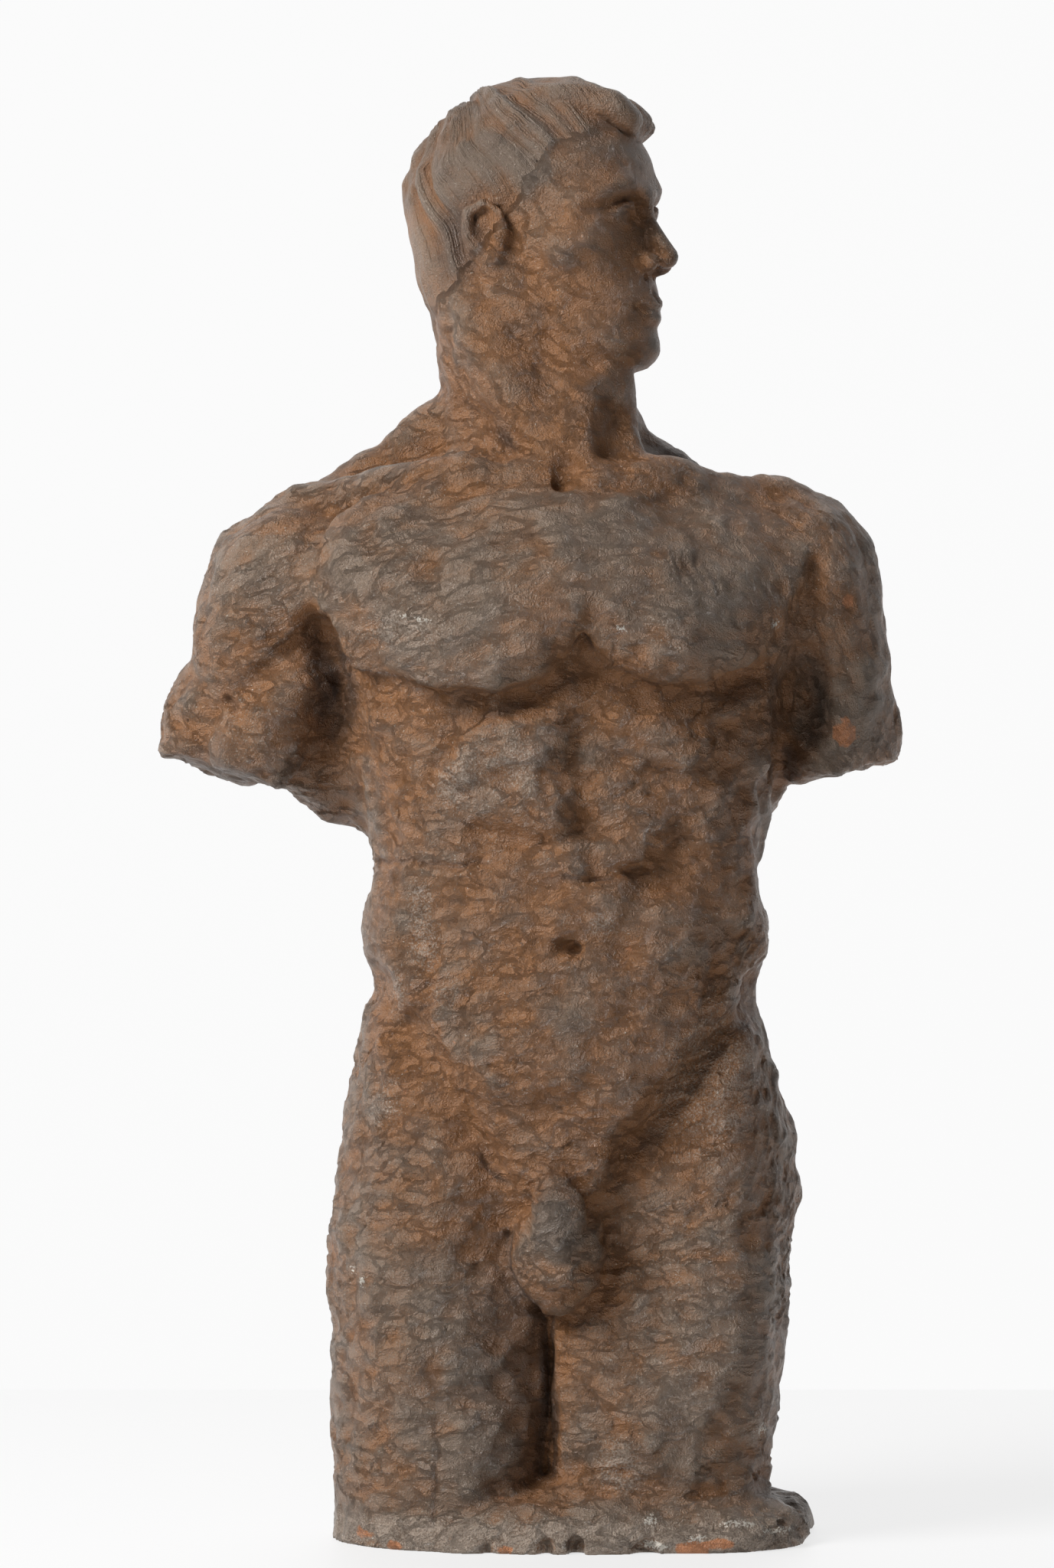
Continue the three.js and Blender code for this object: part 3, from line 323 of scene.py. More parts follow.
def back_forms():
    for side in [-1, 1]:
        # long muscles beside the spine
        line = [[side * 22, 236], [side * 24, 300], [side * 26, 380], [side * 34, 450]]
        lay(ridge(line, [18, 21, 19, 14], -12, BACK), 26)
        # broad back muscle, from the loin up to the armpit
        line = [[side * 40, 330], [side * 74, 390], [side * 98, 440], [side * 110, 490]]
        lay(ridge(line, [22, 34, 38, 30], -24, BACK), 22)
        # shoulder blade and its ridge
        lay(pad(side * 66, 510, [42, 13, 40], side * 14, 0, BACK), 20)
        lay(ridge([[side * 34, 524], [side * 66, 540], [side * 98, 548]], [7, 8, 9], 0, BACK), 14)
        lay(pad(side * 92, 484, [34, 14, 18], side * 28, 2, BACK), 16)
        # buttock
        lay(ellipsoid([side * 50, 48, 204], [52, 42, 50], [10, 0, 0]), 14)
        lay(ellipsoid([side * 84, 24, 216], [32, 42, 42]), 20)
        cut(ellipsoid([side * 104, 40, 212], [12, 22, 26]), 22)
    cut(ridge([[0, 250], [0, 320], [0, 420], [0, 516]], [3, 5, 5, 3], 7, BACK), 20)
    cut(strand([[0, 92, 150], [0, 98, 190], [0, 84, 228]], [5, 5, 3]), 9)
    lay(ridge([[0, 530], [0, 580]], [12, 14], -2, BACK), 20)


def side_forms():
    for side in [-1, 1]:
        # saw-toothed muscle over the ribs
        for z, x in [[462, 104], [440, 101], [418, 96], [397, 90]]:
            lay(ridge([[side * (x - 20), z - 9], [side * (x + 3), z + 6]], [7, 11], -4), 9)
        # outer belly muscle, rolling over the hip
        lay(pad(side * 76, 350, [24, 9, 44], side * 6, -1), 18)
        lay(ellipsoid([side * 84, -8, 330], [26, 48, 28]), 20)
        # hip bone
        lay(pad(side * 90, 288, [10, 6, 18], side * 28, 1), 10)
    # the edge of the broad back muscle, seen from the front under each arm
    lay(ellipsoid([-109, 30, 440], [29, 36, 51], [0, 20, 0]), 18)
    lay(ellipsoid([104, 30, 446], [26, 38, 50], [0, -10, 0]), 18)


def belly():
    lay(ellipsoid([0, -38, 252], [74, 44, 74]), 30)
    # end of the breast bone and the rib arch
    for side in [-1, 1]:
        line = [[side * 8, 458], [side * 36, 446], [side * 60, 418], [side * 76, 384]]
        lay(ridge(line, [8, 11, 12, 9], -7), 14)
    # straight belly muscle, in blocks that the sculptor left uneven: x, z, half width, thickness, half height
    blocks = [
        [-38, 437, 27, 10, 20], [-21, 402, 20, 11, 21], [-46, 402, 15, 9, 12],
        [-44, 364, 13, 10, 11], [-22, 368, 14, 8, 9], [-30, 346, 19, 8, 12],
        [20, 443, 14, 8, 12], [40, 436, 17, 9, 15], [58, 432, 11, 7, 11],
        [22, 404, 17, 7, 17], [43, 400, 14, 6, 16], [31, 381, 18, 6, 9],
        [8, 372, 13, 6, 11], [13, 350, 15, 12, 13], [41, 337, 14, 10, 14],
    ]
    for x, z, half, thick, height in blocks:
        lay(pad(x, z, [half, thick, height]), 8)
    # knobs of the outer belly muscle
    knobs = [
        [-66, 413, 12, 11], [-77, 396, 13, 14], [-83, 352, 7, 13], [-80, 326, 12, 16],
        [-94, 337, 7, 8], [66, 402, 14, 18], [24, 377, 9, 7],
    ]
    for x, z, half, height in knobs:
        lay(pad(x, z, [half, 7, height], 0, 1), 6)
    # rolls over the hips: short and broken at the viewer's left, one long slanting roll at the right
    lay(ridge([[-66, 290], [-78, 309]], [5, 6], -2), 14)
    lay(ridge([[42, 312], [64, 322], [84, 340]], [8, 10, 9], -4), 14)
    for side in [-1, 1]:
        lay(pad(side * 30, 300, [34, 7, 40], side * 4, -1), 20)
        # groin furrow
        line = [[side * 102, 300], [side * 80, 270], [side * 54, 236], [side * 28, 204]]
        cut(ridge(line, [2, 5, 6, 5], 6), 22)
    # furrow down the middle, then the navel in its pad
    cut(ridge([[2, 462], [4, 448], [-1, 422], [-2, 384]], [3, 3, 3, 3], 12), 13)
    lay(ridge([[-6, 372], [-8, 346]], [9, 8], 0), 10)
    lay(pad(-6, 327, [14, 7, 12]), 6)
    cut(ellipsoid([-6, -89, 326], [8, 6, 6]), 4)
    cut(ellipsoid([-2, -85, 325], [4, 5, 3]), 2)


def chest():
    for side in [-1, 1]:
        # breast muscle: its flatter upper part, and its run to the arm
        lay(pad(side * 58, 536, [68, 15, 46], side * 8, -2), 26)
        lay(ellipsoid([side * 102, -42, 514], [40, 28, 38], [0, 0, side * 24]), 24)
    # the breast bone's flat upper part
    lay(pad(0, 530, [42, 13, 46]), 24)
    # the rounded lower part of each breast: x, z, half width, thickness, half height
    breasts = [[-62, 500, 53, 22, 40], [-56, 483, 40, 20, 23], [54, 503, 50, 22, 38], [42, 488, 33, 19, 23]]
    for x, z, half, thick, height in breasts:
        lay(pad(x, z, [half, thick, height], 0, 1), 10)
    # the shallow groove between the breasts, and the fold under each
    cut(ridge([[0, 506], [-1, 488], [-2, 466]], [2, 4, 4], 8), 12)
    cut(ridge([[-118, 474], [-94, 460], [-62, 453], [-28, 460], [-8, 472]], [3, 4, 5, 4, 3], 7), 10)
    cut(ridge([[8, 474], [36, 459], [66, 460], [100, 474]], [3, 4, 4, 3], 7), 10)


def shoulders():
    # neck muscle down to the shoulder, steeper on the side that the head leaves
    lay(strand([[-30, 30, 655], [-55, 32, 621], [-90, 28, 588], [-138, 18, 556]], [15, 17, 18, 16]), 22)
    lay(strand([[12, 34, 640], [34, 32, 598], [68, 26, 570], [114, 20, 554]], [18] * 4), 22)
    # collar bones
    lay(strand([[-8, -52, 574], [-50, -47, 581], [-96, -27, 575], [-138, -2, 568]], [9, 10, 10, 10]), 14)
    lay(strand([[14, -48, 574], [50, -38, 580], [86, -17, 573], [120, 4, 568]], [9, 10, 10, 10]), 14)


def arms():
    # the figure's right arm, at the viewer's left: three heads of the shoulder, then the upper arm
    lay(ellipsoid([-148, 2, 520], [47, 44, 49], [0, 14, 0]), 18)
    lay(ellipsoid([-152, -26, 518], [30, 24, 42], [0, 10, 0]), 12)
    lay(ellipsoid([-150, 28, 518], [32, 24, 40], [0, 12, 0]), 12)
    right_arm = joined([
        ellipsoid([-164, -6, 486], [38, 38, 46], [0, 6, 0]),
        strand([[-147, -22, 468], [-165, -20, 430]], [25, 25]),
        ellipsoid([-184, 16, 450], [35, 36, 50], [0, 24, 0]),
        ellipsoid([-138, 6, 440], [24, 32, 40]),
    ], 8)
    lay(below(right_arm, [-180, 0, 417], [-0.32, -0.1, -1], 3), 12)
    # hollows under the shoulder's edge, beside the breast, and between the arm and the ribs
    cut(strand([[-131, -48, 491], [-150, -50, 481], [-178, -38, 457]], [5, 4, 4]), 10)
    cut(ellipsoid([-127, -52, 488], [9, 18, 16]), 12)
    cut(strand([[-121, -50, 478], [-121, -42, 425]], [6, 7]), 10)
    # the figure's left arm
    lay(ellipsoid([130, 12, 526], [46, 42, 48], [0, -14, 0]), 18)
    lay(ellipsoid([136, -16, 520], [30, 24, 42], [0, -10, 0]), 12)
    lay(ellipsoid([132, 36, 518], [30, 24, 40], [0, -12, 0]), 12)
    left_arm = joined([
        ellipsoid([147, 8, 488], [35, 38, 50], [0, -4, 0]),
        ellipsoid([146, 4, 446], [28, 32, 40]),
        ellipsoid([157, 24, 449], [31, 36, 46], [0, -18, 0]),
    ], 9)
    lay(below(left_arm, [160, 0, 420], [0.2, 0, -1], 3), 12)
    cut(strand([[140, -40, 532], [135, -46, 510], [124, -54, 490]], [2, 4, 4]), 10)
    cut(ellipsoid([132, -38, 454], [15, 27, 33]), 8)


# The sections of each thigh, as for the trunk
THIGHS = [
    [
        [0, -62, 0, 60, 58, 58, 2.3], [40, -62, 0, 61, 62, 60, 2.3], [95, -62, 0, 62, 65, 63, 2.2],
        [150, -65, 2, 62, 66, 68, 2.2], [200, -63, 4, 58, 62, 70, 2.2], [240, -59, 6, 46, 54, 60, 2.1],
        [280, -56, 6, 22, 30, 34, 2.0],
    ],
    [
        [0, 57, 0, 57, 58, 58, 2.3], [40, 58, 0, 58, 62, 60, 2.3], [95, 62, 0, 61, 65, 63, 2.2],
        [150, 65, 2, 62, 66, 68, 2.2], [200, 69, 4, 61, 62, 70, 2.2], [240, 66, 6, 50, 54, 60, 2.1],
        [280, 62, 6, 24, 30, 34, 2.0],
    ],
]


def thighs():
    for rows in THIGHS:
        lay(loft(rows), 16)
    # hips
    lay(ellipsoid([-83, 4, 254], [25, 48, 56], [0, 6, 0]), 20)
    lay(ellipsoid([92, -8, 232], [27, 54, 60], [0, -8, 0]), 20)
    # front muscle and the outer mass of each thigh, then the inner thigh
    lay(ellipsoid([-72, -40, 150], [32, 30, 92], [-3, 5, 0]), 20)
    lay(ellipsoid([78, -40, 154], [34, 30, 92], [-3, -5, 0]), 20)
    lay(ellipsoid([-50, -38, 66], [26, 26, 50], [0, -6, 0]), 16)
    lay(ellipsoid([44, -40, 70], [26, 26, 50], [0, 6, 0]), 16)
    lay(ellipsoid([-33, -20, 128], [25, 34, 66], [0, -4, 0]), 16)
    lay(ellipsoid([32, -26, 128], [25, 36, 66], [0, 4, 0]), 16)
    # the thighs meet, the figure's left one in front, along a narrow gap
    lay(ellipsoid([16, -34, 84], [22, 30, 74]), 14)
    cut(ellipsoid([-5, -56, 84], [2.5, 20, 44]), 5)
    # crease under each buttock
    for side in [-1, 1]:
        cut(strand([[side * 22, 76, 158], [side * 56, 84, 154], [side * 92, 72, 164]], [4, 5, 3]), 14)


def genitals():
    lay(ellipsoid([0, -58, 203], [30, 16, 22]), 16)
    lay(ellipsoid([0, -62, 161], [27, 25, 34]), 5)
    lay(ellipsoid([-2, -80, 180], [15.5, 15, 25]), 3)


# Sections as for the trunk
NECK = [
    [556, -4, 16, 60, 50, 50, 2.1], [600, -8, 14, 53, 48, 46, 2.1], [640, -12, 10, 47, 44, 44, 2.1],
    [670, -18, 10, 45, 40, 44, 2.1], [690, -25, 10, 45, 34, 42, 2.0], [712, -28, 12, 36, 26, 34, 2.0],
]


def neck():
    lay(loft(NECK), 14)
    # the bands at the front of the neck
    lay(strand([[-52, -14, 694], [-38, -28, 650], [-20, -36, 614], [-2, -44, 584]], [12, 15, 13, 8]), 16)
    lay(strand([[26, -14, 652], [30, -20, 620], [33, -26, 594]], [12, 12, 12]), 12)
    lay(strand([[8, -28, 652], [13, -35, 622], [8, -42, 592]], [13, 12, 9]), 16)
    # from behind the ear down the side of the neck, and the hollow under the jaw
    lay(strand([[-54, 0, 712], [-45, 2, 672], [-42, 4, 640]], [21, 19, 18]), 20)
    cut(strand([[-42, -46, 684], [-14, -52, 657], [16, -44, 646]], [4, 6, 5]), 14)
    # the notch between the collar bones
    cut(strand([[2, -58, 596], [4, -60, 584], [2, -64, 573]], [2, 5, 3]), 7)


# Sections as for the trunk
FACE = [
    [-76, 0, -46, 11, 9, 12, 2.0], [-70, 0, -38, 21, 21, 24, 2.0], [-60, 0, -28, 30, 31, 32, 2.0],
    [-48, 0, -20, 36, 40, 34, 2.1], [-33, 0, -14, 40, 45, 36, 2.1], [-15, 0, -12, 43, 44, 38, 2.2],
    [0, 0, -10, 44, 44, 42, 2.3], [12, 0, -6, 45, 51, 46, 2.3], [28, 0, 0, 45, 57, 52, 2.2],
    [45, 0, 4, 42, 50, 50, 2.1], [58, 0, 6, 34, 38, 42, 2.0], [68, 0, 6, 18, 20, 26, 2.0],
]


def face():
    # jaw, cheekbone, brow and eye socket of each side
    for side in [-1, 1]:
        line = mirrored(side, [[40, 8, -22], [36, 2, -46], [21, -34, -64], [6, -48, -67]])
        lay(strand(line, [7, 8, 8, 7]), 12)
        lay(ellipsoid([side * 30, -33, -14], [17, 11, 11], [0, 0, side * 30]), 14)
        line = mirrored(side, [[5, -55, 9], [17, -54, 12.5], [29, -48, 12], [38, -37, 6]])
        lay(strand(line, [4.5, 5, 4.5, 4]), 9)
        cut(ellipsoid([side * 17.5, -60, 1.5], [12.5, 10, 8.5], [0, 0, -side * 16]), 6)
    # the middle of the face, the mouth's mound and the nose
    lay(ellipsoid([0, -48, -16], [13, 11, 17]), 8)
    lay(ellipsoid([0, -44, -46], [23, 16.5, 17]), 9)
    lay(strand([[0, -53, 8], [0, -58, -3], [0, -64, -13], [0, -69, -22]], [4.5, 4.4, 5, 6.6]), 5)
    for side in [-1, 1]:
        # nostril
        lay(ellipsoid([side * 8.5, -60, -25.5], [5.2, 8.5, 5.6], [0, 0, side * 14]), 3.5)
        cut(ellipsoid([side * 5.5, -62, -31.5], [2.6, 4.5, 3]), 1.5)
        # eye: ball, lids
        lay(ellipsoid([side * 17, -45.5, -1], [11.5, 9, 8], [0, 0, -side * 12]), 1.5)
        upper = [[6.5, -51, -2.5], [10.5, -54, 2], [17, -55.6, 4.2], [23, -53, 2.6], [28.5, -47.5, -2]]
        lower = [[7, -50.5, -3.2], [12, -53, -6], [18, -53.6, -6.8], [24, -51, -5.2], [28.5, -47.5, -2]]
        lay(strand(mirrored(side, upper), [1.5, 1.9, 2.1, 1.9, 1.5]), 2)
        lay(strand(mirrored(side, lower), [1.2, 1.4, 1.5, 1.4, 1.2]), 2)
    # lips and chin
    line = [[-14, -55, -48.6], [-7, -60.5, -46], [0, -62.5, -46.6], [7, -60.5, -46], [14, -55, -48.6]]
    lay(strand(line, [1.4, 3.2, 3.4, 3.2, 1.4]), 3)
    line = [[-12, -55, -50.8], [-6, -59.5, -53.2], [0, -60.8, -53.8], [6, -59.5, -53.2], [12, -55, -50.8]]
    lay(strand(line, [1.6, 3.8, 4.2, 3.8, 1.6]), 3)
    line = [[-16, -57.5, -49.4], [-8, -64, -49.4], [0, -66, -50], [8, -64, -49.4], [16, -57.5, -49.4]]
    cut(strand(line, [0.8] * 5), 2)
    cut(ellipsoid([0, -65, -41], [2.2, 4, 5]), 3)
    lay(ellipsoid([0, -50, -67], [13, 12, 9]), 7)


def ears():
    for side in [-1, 1]:
        lay(ellipsoid([side * 46, 13, -14.5], [6, 10, 17.5], [-10, 0, side * 16]), 3)
        rim = [
            [45, 3.4, -11], [49, 4.6, -1], [51, 12, 4.5], [53, 20, -1],
            [52.5, 21, -12.5], [49.5, 15.5, -25], [46.5, 8, -33],
        ]
        lay(strand(mirrored(side, rim), [2, 2.4, 2.6, 2.6, 2.4, 2.4, 3.2]), 2.5)
        cut(ellipsoid([side * 53, 11.5, -13], [5, 4.5, 7.5], [-10, 0, side * 16]), 2)
        lay(ellipsoid([side * 46.5, 4, -16], [3, 3, 4.5]), 2.5)


# The hair line on the side of the head: y and z
HAIR_LINE = [[-50, 46], [-25, 34], [-2, 2], [15, -22], [40, -46], [60, -50]]
# Locks of hair down the sides and the back, in three tiers: from, to, and how far the tier is turned
LOCKS = [[74, 46, 0], [52, 28, 6], [32, 10, 0]]


def hair():
    cap = ellipsoid(SKULL_AT, [r + 1.5 for r in SKULL], SKULL_TURN)
    lay(below(cap, [0, -43, 43], [0, -0.62, -0.78], 3), 3)
    for side in [-1, 1]:
        for high, low, shift in LOCKS:
            for i in range(10):
                around = 36 + shift + 15 * i
                wave = 3 * (-1) ** i
                lock = [
                    on_skull(side * (around - 8), high, -1),
                    on_skull(side * (around + wave), (high + low) / 2 + wave, 0),
                    on_skull(side * (around + 7), low, -1),
                ]
                lay(strand(lock, [3, 4.6, 3]), 2)
    # the wave of longer hair, swept forward over the brow and across it
    for i in range(5):
        lock = [
            [-27 + 6 * i, 6, 61 + 1.2 * i], [-24 + 6 * i, -22, 61 + i], [-18 + 6.5 * i, -42, 56],
            [-9 + 7 * i, -50, 49], [-1 + 6 * i, -49 + 1.5 * i, 43.5],
        ]
        lay(strand(lock, [4, 6, 6, 5.5, 3.5]), 3)


def head():
    lay(ellipsoid(SKULL_AT, SKULL, SKULL_TURN), 4)
    # nape
    for side in [-1, 1]:
        lay(strand([[side * 16, 43, -8], [side * 15, 30, -42]], [20, 20]), 16)
    lay(loft(FACE), 6)
    face()
    ears()
    hair()


# Sections of the slab and of its thicker end, at the viewer's right, as for the trunk
BASE = [[0, 11, 8, 125, 84, 76, 2.8], [7, 11, 8, 126, 84, 78, 2.8], [13, 11, 8, 123, 80, 74, 2.8]]
THICK_END = [[0, 98, 30, 42, 50, 38, 2.4], [12, 98, 30, 42, 48, 36, 2.4], [20, 96, 30, 38, 42, 32, 2.4]]


def base():
    lay(loft(BASE), 14)
    lay(loft(THICK_END), 6)
    # the clay banked up against the thighs, highest in front of the gap
    lay(ellipsoid([8, -44, 8], [64, 34, 26]), 10)
    lay(ellipsoid([84, -32, 8], [50, 38, 20]), 10)
    # bites out of the slab's front edge: x, height, half width
    for x, z, half in [[-87, 2, 6], [-39, 3, 4], [-7, 2, 4], [9, 3, 4], [47, 2, 7], [111, 3, 5]]:
        cut(ellipsoid([x, -78, z], [half, 9, 7]), 3)


def underside():
    """All that lies under the ground is cut away."""
    cut((lambda p: p[:, 2], np.array([-400, -400, -60.0]), np.array([400, 400, 0.0])), 0.5)


def surface(step):
    """Points, triangles and quads of the zero surface, on a fine grid that is filled only near it."""
    n = np.ceil((HIGH - LOW) / (step * COARSE)).astype(int)
    axes = [LOW[i] + np.arange(n[i] + 1) * step * COARSE for i in range(3)]
    corners = np.stack(np.meshgrid(*axes, indexing="ij"), -1)
    rough = field(corners.reshape(-1, 3)).reshape(corners.shape[:3])
    band = 0.8 * step * COARSE * math.sqrt(3)
    around = [rough[i:i + n[0], j:j + n[1], k:k + n[2]] for i, j, k in np.ndindex(2, 2, 2)]
    block = np.ones((COARSE, COARSE, COARSE))
    fine = np.kron(np.where(np.mean(around, axis=0) < 0, -band, band), block).astype(np.float32)
    todo = np.kron(np.min(np.abs(around), axis=0) < band, block.astype(bool))
    fine[todo] = field(LOW + np.argwhere(todo) * step).astype(np.float32)
    grid = openvdb.FloatGrid(float(band))
    grid.copyFromArray(fine)
    points, triangles, quads = grid.convertToPolygons(isovalue=0.0, adaptivity=0.0)
    return points * step + LOW, triangles, quads


def make_mesh(name, points, triangles, quads):
    mesh = bpy.data.meshes.new(name)
    mesh.vertices.add(len(points))
    mesh.vertices.foreach_set("co", points.astype(np.float32).ravel())
    loops = np.concatenate([quads.ravel(), triangles.ravel()]).astype(np.int32)
    sizes = np.repeat([4, 3], [len(quads), len(triangles)]).astype(np.int32)
    mesh.loops.add(len(loops))
    mesh.loops.foreach_set("vertex_index", loops)
    mesh.polygons.add(len(sizes))
    mesh.polygons.foreach_set("loop_start", np.concatenate([[0], np.cumsum(sizes)[:-1]]).astype(np.int32))
    mesh.polygons.foreach_set("loop_total", sizes)
    mesh.update()
    mesh.validate()
    return mesh


def add(name, data):
    """A new object in the scene."""
    made = bpy.data.objects.new(name, data)
    bpy.context.scene.collection.objects.link(made)
    return made


def noise(p, size, seed):
    """Smooth noise from -1 to 1, with lumps of the given size."""
    q = p / size
    cell = np.floor(q).astype(np.int64)
    f = q - cell
    f = f * f * f * (f * (f * 6 - 15) + 10)
    total = np.zeros(len(p))
    for i, j, k in np.ndindex(2, 2, 2):
        x, y, z = cell[:, 0] + i, cell[:, 1] + j, cell[:, 2] + k
        h = (x * 374761393 + y * 668265263 + z * 2147483647 + seed * 974634777) & 0xFFFFFFFF
        h = ((h ^ (h >> 13)) * 1274126177) & 0xFFFFFFFF
        h = (h ^ (h >> 16)) & 0xFFFF
        part = np.abs(1 - i - f[:, 0]) * np.abs(1 - j - f[:, 1]) * np.abs(1 - k - f[:, 2])
        total += part * (h / 32767.5 - 1)
    return total


def layered(p, layers):
    """Layers of noise added up: rows of [amount, size, seed]."""
    return sum(amount * noise(p, size, seed) for amount, size, seed in layers)


def fade(value, start, end):
    """0 at start, 1 at end, smooth between."""
    t = np.clip((value - start) / (end - start), 0, 1)
    return t * t * (3 - 2 * t)


# Small lumps of clay, and the fine strands of hair: amount, size, seed
LUMPS = [[1.3, 34, 1], [1.8, 17, 2], [1.2, 8.5, 5]]
STRANDS = [[2.2, 9, 9], [1.8, 4.5, 10]]
# How the clay was worked, place by place: x, y, z, reach, then the stroke's angle, length, width and depth.
# Seen from in front, an angle of 180 runs to the viewer's left and 90 runs up. The stroke's deep edge is
# on its left hand, so it is the lower edge where the angle is near 180.
TOOLING = [
    # chest and collar bones
    [-40, -85, 545, 34, 200, 30, 7, 1.0],
    [-90, -70, 520, 34, 215, 32, 7, 1.1],
    [-55, -95, 480, 34, 190, 24, 14, 1.4],
    [30, -85, 550, 30, 175, 34, 6, 1.0],
    [70, -80, 540, 24, 220, 24, 6, 1.3],
    [100, -70, 520, 34, 120, 34, 7, 1.3],
    [60, -95, 475, 34, 185, 22, 15, 1.4],
    # belly
    [-30, -90, 415, 40, 170, 17, 13, 2.0],
    [30, -90, 415, 40, 190, 17, 13, 2.0],
    [-30, -85, 345, 34, 192, 20, 9, 1.9],
    [40, -85, 345, 34, 205, 17, 12, 1.9],
    [0, -80, 275, 50, 183, 20, 11, 1.7],
    [-40, -80, 290, 30, 225, 22, 8, 1.8],
    [0, -75, 225, 30, 178, 17, 10, 1.6],
    # flanks
    [-105, -20, 380, 50, 170, 20, 9, 1.4],
    [110, -20, 380, 50, 200, 20, 9, 1.4],
    # hips and thighs: scales in rows, arched over the front of each thigh
    [-95, -20, 220, 46, 200, 20, 10, 1.7],
    [105, -20, 220, 46, 235, 24, 7, 1.8],
    [-95, -50, 110, 46, 195, 19, 12, 2.0],
    [-45, -60, 110, 40, 168, 19, 12, 2.0],
    [45, -60, 110, 40, 205, 22, 9, 2.0],
    [100, -50, 110, 46, 158, 22, 9, 2.0],
    [-60, -50, 30, 40, 182, 20, 11, 1.7],
    [60, -50, 30, 40, 176, 20, 11, 1.7],
    # arms
    [-170, -20, 520, 40, 215, 24, 8, 1.5],
    [-175, -30, 440, 40, 160, 17, 10, 1.9],
    [155, -20, 520, 40, 120, 28, 7, 1.6],
    [165, -20, 440, 40, 110, 22, 8, 1.6],
    # neck and shoulder slopes
    [-25, -30, 640, 36, 120, 22, 10, 0.8],
    [30, -30, 640, 30, 150, 22, 10, 0.8],
    [-90, 10, 595, 40, 215, 32, 8, 1.0],
    [90, 10, 580, 40, 140, 32, 8, 1.0],
    # face and hair
    [20, -20, 740, 60, 150, 18, 10, 0.6],
    [-72, -10, 700, 26, 280, 22, 10, 0.8],
    # back
    [-60, 90, 500, 70, 215, 26, 11, 1.6],
    [60, 90, 500, 70, 145, 26, 11, 1.6],
    [0, 80, 360, 70, 180, 24, 11, 1.6],
    [-60, 90, 210, 60, 190, 24, 12, 1.8],
    [60, 90, 210, 60, 170, 24, 12, 1.8],
    [0, 80, 80, 80, 180, 22, 12, 1.8],
]


def combed(points):
    """Places that change slowly along each strand of hair, away from the crown, and quickly across it."""
    gap = into_head(points) - np.array(SKULL_AT)
    a, b = gap[:, 0], gap @ np.array([0, -0.83, 0.55])
    turn = np.arctan2(b, a) + 0.22 * noise(gap, 34, 8)
    return np.stack([52 * np.cos(turn), 52 * np.sin(turn), 0.16 * np.hypot(a, b)], 1)


def hair_share(points):
    """1 above the hair line, which runs from the brow down behind the ear to the nape."""
    place = into_head(points)
    back, up = np.array(HAIR_LINE).T
    line = np.interp(place[:, 1], back, up)
    return fade(place[:, 2] - line + 5 * noise(points, 12, 14), -6, 6)


def tooling_at(place):
    """The stroke's angle, length, width and depth at a place, blended from the nearest rows."""
    table = np.array(TOOLING, float)
    gap = ((place - table[:, :3]) ** 2).sum(1)
    share = np.exp(-gap / (2 * table[:, 3] ** 2)) + 1e-12
    share = share / share.sum()
    a = np.radians(table[:, 4])
    angle = math.atan2(share @ np.sin(a), share @ np.cos(a))
    return (angle, *(share @ table[:, 5:8]))


def press_dabs(points, normals, random):
    """Dabs pressed over each other from below upward: their depth, a tone, and places along the strokes."""
    depth, tone, stroke = np.zeros(len(points)), np.full(len(points), 0.5), np.zeros((len(points), 3))
    ragged = 1 + 0.35 * noise(points, 6, 3) + 0.25 * noise(points, 3, 4)
    bold = fade(noise(points, 45, 6) + 0.5 * noise(points, 20, 7), -0.5, 0.7)
    tree = kdtree.KDTree(len(points))
    for i, p in enumerate(points.tolist()):
        tree.insert(p, i)
    tree.balance()
    total = int(len(points) * GRID_STEP**2 / DAB_AREA)
    seeds = random.choice(len(points), total, replace=False)
    order = np.argsort(points[seeds, 2] + random.normal(0, 7, total))
    for seed in seeds[order]:
        centre, out = points[seed], normals[seed]
        angle, length, width, deep = tooling_at(centre)
        angle += random.normal(0, 0.28)
        grow = random.uniform(0.7, 1.5)
        length = length * grow * random.uniform(0.7, 1.2) / 2
        width = width * grow * random.uniform(0.7, 1.25) / 2
        deep = deep * random.uniform(0.4, 1.5) * (0.55 + bold[seed])
        shade = random.uniform(0, 1)
        across = np.cross([0, 0, 1], out)
        across = across / (np.linalg.norm(across) + 1e-6)
        up = np.cross(out, across)
        along = across * math.cos(angle) + up * math.sin(angle)
        side = np.cross(out, along)
        near = np.array([found[1] for found in tree.find_range(centre, max(length, width) * 1.25)])
        gap = points[near] - centre
        u, v = gap @ along / length, gap @ side / width
        r = (u * u + v * v) * ragged[near]
        inside = (r < 1) & (np.abs(gap @ out) < 6)
        near, u, v, r = near[inside], u[inside], v[inside], r[inside]
        ground = depth[near].mean() * 0.55
        new = ground + deep * (0.34 + 0.40 * v - 0.10 * u * u) * (1 - r**3)
        part = np.clip((1 - r) / (0.10 + 0.5 * (v < -0.2)), 0, 1)
        depth[near] += part * (new - depth[near])
        tone[near] += part * (shade - tone[near])
        top = part > 0.5
        place = np.stack([u * length, v * width, np.full(len(u), 90 * shade)], 1)
        stroke[near[top]] = place[top]
    return depth, tone, stroke


def spot(points, at, radii, soft=0.35):
    """1 inside an ellipsoid, falling to 0 just outside it."""
    r = np.sqrt((((points - np.array(at)) / np.array(radii)) ** 2).sum(1))
    return 1 - fade(r, 1 - soft, 1 + soft)


def smoothed(values, ends, rounds):
    """Values on the mesh, averaged with their neighbours' a number of times."""
    a, b = ends.T
    count = np.bincount(ends.ravel(), minlength=len(values))
    for _ in range(rounds):
        total = np.bincount(a, values[b], len(values)) + np.bincount(b, values[a], len(values))
        values = 0.4 * values + 0.6 * total / count
    return values


